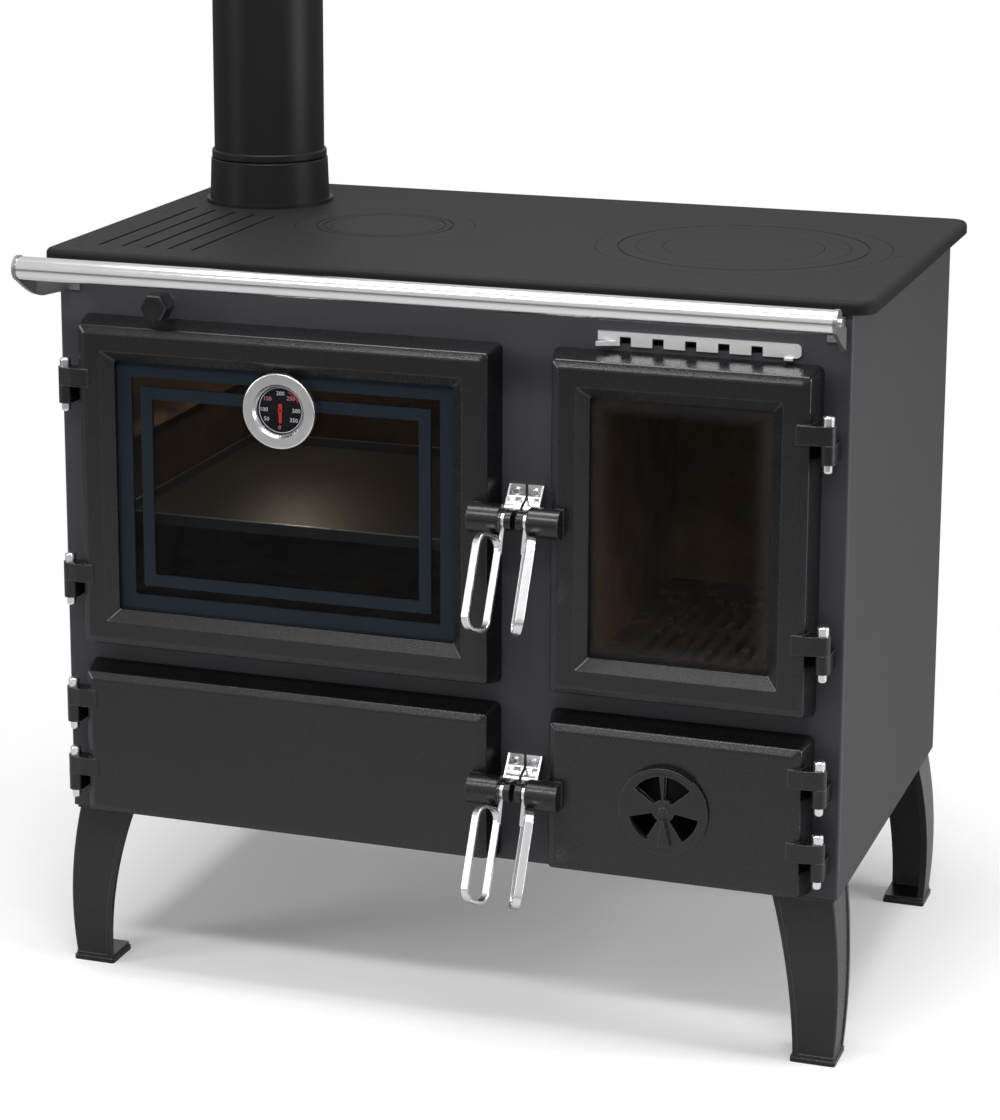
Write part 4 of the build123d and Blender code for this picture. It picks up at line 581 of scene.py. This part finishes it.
def braid_tree(name):
    """Strands that wind round a path, half of them each way, over and under each other."""
    tree = bpy.data.node_groups.new(name, "GeometryNodeTree")
    sizes = {}
    for label, kind, value in (
        ("Path", "NodeSocketGeometry", None),
        ("Strands Each Way", "NodeSocketInt", 4),
        ("Turns", "NodeSocketInt", 60),
        ("Half Width", "NodeSocketFloat", 0.004),
        ("Half Depth", "NodeSocketFloat", 0.003),
        ("Strand Radius", "NodeSocketFloat", 0.001),
        ("Spacing", "NodeSocketFloat", 0.003),
        ("Finish", "NodeSocketMaterial", None),
    ):
        socket = tree.interface.new_socket(label, in_out="INPUT", socket_type=kind)
        if value is not None:
            socket.default_value = value
        sizes[label] = socket.identifier
    tree.interface.new_socket("Braid", in_out="OUTPUT", socket_type="NodeSocketGeometry")
    given = tree.nodes.new("NodeGroupInput")

    def add(kind, links=None, **settings):
        node = tree.nodes.new(kind)
        for setting, value in settings.items():
            setattr(node, setting, value)
        for key, source in (links or {}).items():
            if isinstance(source, (int, float, tuple)):
                node.inputs[key].default_value = source
            else:
                tree.links.new(source, node.inputs[key])
        return node

    def maths(operation, first, second=0.0):
        return add("ShaderNodeMath", {0: first, 1: second}, operation=operation).outputs[0]

    def vectors(operation, first, second):
        return add("ShaderNodeVectorMath", {0: first, 1: second}, operation=operation)

    even = add(
        "GeometryNodeResampleCurve",
        {"Curve": given.outputs["Path"], "Length": given.outputs["Spacing"]},
        mode="LENGTH",
    )
    count = maths("MULTIPLY", given.outputs["Strands Each Way"], 2.0)
    copies = add(
        "GeometryNodeDuplicateElements",
        {"Geometry": even.outputs[0], "Amount": count},
        domain="SPLINE",
    )
    number = copies.outputs["Duplicate Index"]
    way = maths("SUBTRACT", maths("MULTIPLY", maths("MODULO", number, 2.0), 2.0), 1.0)
    rank = maths("FLOOR", maths("DIVIDE", number, 2.0))
    seat = maths("DIVIDE", rank, given.outputs["Strands Each Way"])
    along = add("GeometryNodeSplineParameter").outputs["Factor"]
    travelled = maths("MULTIPLY", along, given.outputs["Turns"])
    angle = maths("MULTIPLY", maths("ADD", maths("MULTIPLY", travelled, way), seat), math.tau)
    crossings = maths("MULTIPLY", travelled, given.outputs["Strands Each Way"])
    beat = maths("MULTIPLY", maths("ADD", crossings, seat), math.tau)
    weave = maths("MULTIPLY", maths("SINE", beat), way)
    swell = maths("ADD", maths("MULTIPLY", weave, over_and_under), mean_reach)
    tangent = add("GeometryNodeInputTangent").outputs[0]
    outward = (0.0, 1.0, 0.0)
    across = vectors("CROSS_PRODUCT", tangent, outward).outputs[0]
    half_width = maths("MULTIPLY", swell, given.outputs["Half Width"])
    half_depth = maths("MULTIPLY", swell, given.outputs["Half Depth"])
    sideways = maths("MULTIPLY", maths("COSINE", angle), half_width)
    forward = maths("MULTIPLY", maths("SINE", angle), half_depth)
    wide = add("ShaderNodeVectorMath", {0: across, "Scale": sideways}, operation="SCALE")
    deep = add("ShaderNodeVectorMath", {0: outward, "Scale": forward}, operation="SCALE")
    offset = vectors("ADD", wide.outputs[0], deep.outputs[0]).outputs[0]
    wound = add(
        "GeometryNodeSetPosition", {"Geometry": copies.outputs["Geometry"], "Offset": offset}
    )
    section = add(
        "GeometryNodeCurvePrimitiveCircle",
        {"Resolution": strand_sides, "Radius": given.outputs["Strand Radius"]},
    )
    tube = add(
        "GeometryNodeCurveToMesh", {"Curve": wound.outputs[0], "Profile Curve": section.outputs[0]}
    )
    smooth = add("GeometryNodeSetShadeSmooth", {"Geometry": tube.outputs[0]})
    solid = add("GeometryNodeRealizeInstances", {"Geometry": smooth.outputs[0]})
    dressed = add(
        "GeometryNodeSetMaterial",
        {"Geometry": solid.outputs[0], "Material": given.outputs["Finish"]},
    )
    result = tree.nodes.new("NodeGroupOutput")
    tree.links.new(dressed.outputs[0], result.inputs[0])
    return tree, sizes


def rope_seal(node_name, body, tree, sizes):
    """The rope in a door's groove, braided along the groove's middle line."""
    low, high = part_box(node_name)
    middle = (low + high) / 2
    half_depth = (high.y - low.y) / 2
    half_width = (high.x - low.x) / 2 - seal_width / 2
    half_height = (high.z - low.z) / 2 - seal_width / 2
    loop = rounded_loop(node_name + "_path", half_width, half_height, seal_corner, middle)
    length = 4 * (half_width + half_height) - (8 - math.tau) * seal_corner
    modifier = loop.modifiers.new("braid", "NODES")
    modifier.node_group = tree
    for label, value in (
        ("Turns", round(length / braid_pitch)),
        ("Half Width", seal_width / 2 - strand_radius),
        ("Half Depth", half_depth - strand_radius),
        ("Strand Radius", strand_radius),
        ("Spacing", braid_spacing),
        ("Finish", braided_rope(node_name + "_yarn")),
    ):
        modifier[sizes[label]] = value
    bpy.context.view_layer.update()
    shown = loop.evaluated_get(bpy.context.evaluated_depsgraph_get())
    braid = bpy.data.objects.new(node_name + "_braid", bpy.data.meshes.new_from_object(shown))
    bpy.context.scene.collection.objects.link(braid)
    bpy.data.objects.remove(loop)
    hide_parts(node_name)
    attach(braid, body)


corner_steps = 8
strand_sides = 6
mean_reach = 0.86
over_and_under = 0.11
seal_width = 0.010
seal_corner = 0.007
strand_radius = 0.00145
braid_pitch = 0.026
braid_spacing = 0.0022
braid, braid_sizes = braid_tree("braided_rope")
rope_seal("oven_door_seal", "oven_door", braid, braid_sizes)
rope_seal("fire_door_seal", "fire_door", braid, braid_sizes)

# ================================================================ dial numerals


def dial_numerals(name, marks, finish):
    """Raised figures round the dial, each upright at its own angle."""
    merged = bmesh.new()
    for figures, degrees in marks:
        words = bpy.data.curves.new(name, "FONT")
        words.body = figures
        words.size = numeral_height
        words.extrude = numeral_thickness / 2
        words.align_x = "CENTER"
        words.align_y = "CENTER"
        words.resolution_u = 2
        writing = bpy.data.objects.new(name, words)
        bpy.context.scene.collection.objects.link(writing)
        bpy.context.view_layer.update()
        shown = writing.evaluated_get(bpy.context.evaluated_depsgraph_get())
        mesh = bpy.data.meshes.new_from_object(shown)
        angle = math.radians(degrees)
        place = Vector(
            (
                dial_centre.x + numeral_radius * math.cos(angle),
                dial_low.y - numeral_thickness / 2,
                dial_centre.z + numeral_radius * math.sin(angle),
            )
        )
        mesh.transform(Matrix.Translation(place) @ Matrix.Rotation(math.pi / 2, 4, "X"))
        merged.from_mesh(mesh)
        bpy.data.objects.remove(writing)
        bpy.data.meshes.remove(mesh)
    figures_mesh = bpy.data.meshes.new(name)
    merged.to_mesh(figures_mesh)
    merged.free()
    figures_mesh.materials.append(finish)
    numerals = bpy.data.objects.new(name, figures_mesh)
    bpy.context.scene.collection.objects.link(numerals)
    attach(numerals, "oven_door")


# each mark has its figures and the angle it stands at, up from the dial's right side
numeral_radius = 0.0186
numeral_height = 0.0064
numeral_thickness = 0.0002
white_marks = (("50", 213), ("100", 180), ("200", 88), ("300", 2), ("350", -32))
red_marks = (("0", -92), ("150", 140), ("250", 48))
dial_numerals("dial_white_figures", white_marks, printed("dial_white", (0.78, 0.79, 0.82)))
dial_numerals("dial_red_figures", red_marks, printed("dial_pink", (0.62, 0.30, 0.34)))

# ================================================================ light, floor and camera


def soft_lamp(name, place, aim, width, height, power):
    lamp = bpy.data.lights.new(name, "AREA")
    lamp.shape = "RECTANGLE"
    lamp.size = width
    lamp.size_y = height
    lamp.energy = power
    holder = bpy.data.objects.new(name, lamp)
    holder.location = place
    holder.rotation_euler = (Vector(aim) - Vector(place)).to_track_quat("-Z", "Y").to_euler()
    bpy.context.scene.collection.objects.link(holder)


def inside_lamp(name, power, colour, from_wall, from_roof):
    """A small warm lamp at the back of the oven, so that its pane shows what is behind it."""
    lamp = bpy.data.lights.new(name, "POINT")
    lamp.energy = power
    lamp.color = colour
    lamp.shadow_soft_size = 0.02
    low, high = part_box("oven_liner")
    holder = bpy.data.objects.new(name, lamp)
    holder.location = (low.x + from_wall, high.y - from_wall, high.z - from_roof)
    bpy.context.scene.collection.objects.link(holder)


def studio_world(name, lighting, mirrored):
    """White where the camera sees it, dimmer where it lights, and in between in mirrors."""
    world = bpy.data.worlds.new(name)
    world.use_nodes = True
    sky = world.node_tree
    sky.nodes.clear()
    path = sky.nodes.new("ShaderNodeLightPath")
    level = sky.nodes.new("ShaderNodeMapRange")
    level.inputs["To Min"].default_value = lighting
    level.inputs["To Max"].default_value = mirrored
    sky.links.new(path.outputs["Is Glossy Ray"], level.inputs["Value"])
    strength = sky.nodes.new("ShaderNodeMath")
    strength.operation = "MAXIMUM"
    sky.links.new(path.outputs["Is Camera Ray"], strength.inputs[0])
    sky.links.new(level.outputs["Result"], strength.inputs[1])
    glow = sky.nodes.new("ShaderNodeBackground")
    glow.inputs["Color"].default_value = (1, 1, 1, 1)
    sky.links.new(strength.outputs[0], glow.inputs["Strength"])
    sky_out = sky.nodes.new("ShaderNodeOutputWorld")
    sky.links.new(glow.outputs[0], sky_out.inputs["Surface"])
    bpy.context.scene.world = world


def studio_floor(name, fade_start, fade_end):
    """A pale floor that fades to the white background, and is duller to all but the camera."""
    bpy.ops.mesh.primitive_plane_add(size=60, location=(0, 0, 0))
    floor = bpy.context.active_object
    floor.name = name
    f = Finish(name)
    fade = ((f.x * f.x + f.y * f.y) ** 0.5).step(fade_start, fade_end)
    camera_ray = f.node("ShaderNodeLightPath", wanted="Is Camera Ray")
    mirror_ray = f.node("ShaderNodeLightPath", wanted="Is Glossy Ray")
    seen = f.node("ShaderNodeBsdfDiffuse", values={"Color": (0.86, 0.86, 0.86, 1)})
    dull = f.node("ShaderNodeBsdfDiffuse", values={"Color": (0.42, 0.42, 0.42, 1)})
    matt = f.node("ShaderNodeMixShader", values=(camera_ray.most(mirror_ray * 0.35), dull, seen))
    glow = camera_ray * 0.16
    lift = f.node("ShaderNodeEmission", values={"Color": (1, 1, 1, 1), "Strength": glow})
    lit = f.node("ShaderNodeAddShader", values=(matt, lift))
    white = f.node("ShaderNodeEmission", values={"Color": (1, 1, 1, 1), "Strength": 1.0})
    floor.data.materials.append(
        f.done(f.node("ShaderNodeMixShader", values=(fade * camera_ray, lit, white)))
    )


soft_lamp(
    "right_softbox",
    place=(2.7, 0.1, 0.9),
    aim=(0.3, 0.05, 0.45),
    width=1.3,
    height=1.2,
    power=42,
)
soft_lamp(
    "overhead_softbox",
    place=(0.0, -0.2, 2.5),
    aim=(0.0, 0.0, 0.8),
    width=1.9,
    height=1.0,
    power=56,
)
soft_lamp(
    "front_top_strip",
    place=(0.2, -1.75, 2.35),
    aim=(0.0, -0.2, 0.5),
    width=2.4,
    height=0.24,
    power=36,
)
soft_lamp(
    "left_softbox",
    place=(-2.7, -2.0, 1.4),
    aim=(0.0, -0.2, 0.5),
    width=0.8,
    height=1.5,
    power=26,
)
inside_lamp("oven_lamp", power=0.9, colour=(1.0, 0.78, 0.56), from_wall=0.10, from_roof=0.05)
studio_world("studio", lighting=0.2, mirrored=0.7)
studio_floor("studio_floor", fade_start=0.45, fade_end=1.5)

scene = bpy.context.scene
scene.view_settings.view_transform = "Standard"

# the camera stands where the photograph was taken from; lengths of the image are in its pixels
image_width, image_height = 1000, 1120
focal_pixels = 3193.8
centre_column, centre_row = 450.0, 400.0
yaw, pitch = 0.3384, 0.2249
camera_place = (1.0990, -3.2929, 1.4391)
camera_data = bpy.data.cameras.new("camera")
camera_data.sensor_fit = "AUTO"
camera_data.sensor_width = 36.0
camera_data.lens = focal_pixels / image_height * camera_data.sensor_width
camera_data.shift_x = (image_width / 2 - centre_column) / image_height
camera_data.shift_y = (centre_row - image_height / 2) / image_height
camera = bpy.data.objects.new("camera", camera_data)
camera.location = camera_place
ahead = Vector(
    (-math.sin(yaw) * math.cos(pitch), math.cos(yaw) * math.cos(pitch), -math.sin(pitch))
)
camera.rotation_euler = ahead.to_track_quat("-Z", "Y").to_euler()
scene.collection.objects.link(camera)
scene.camera = camera
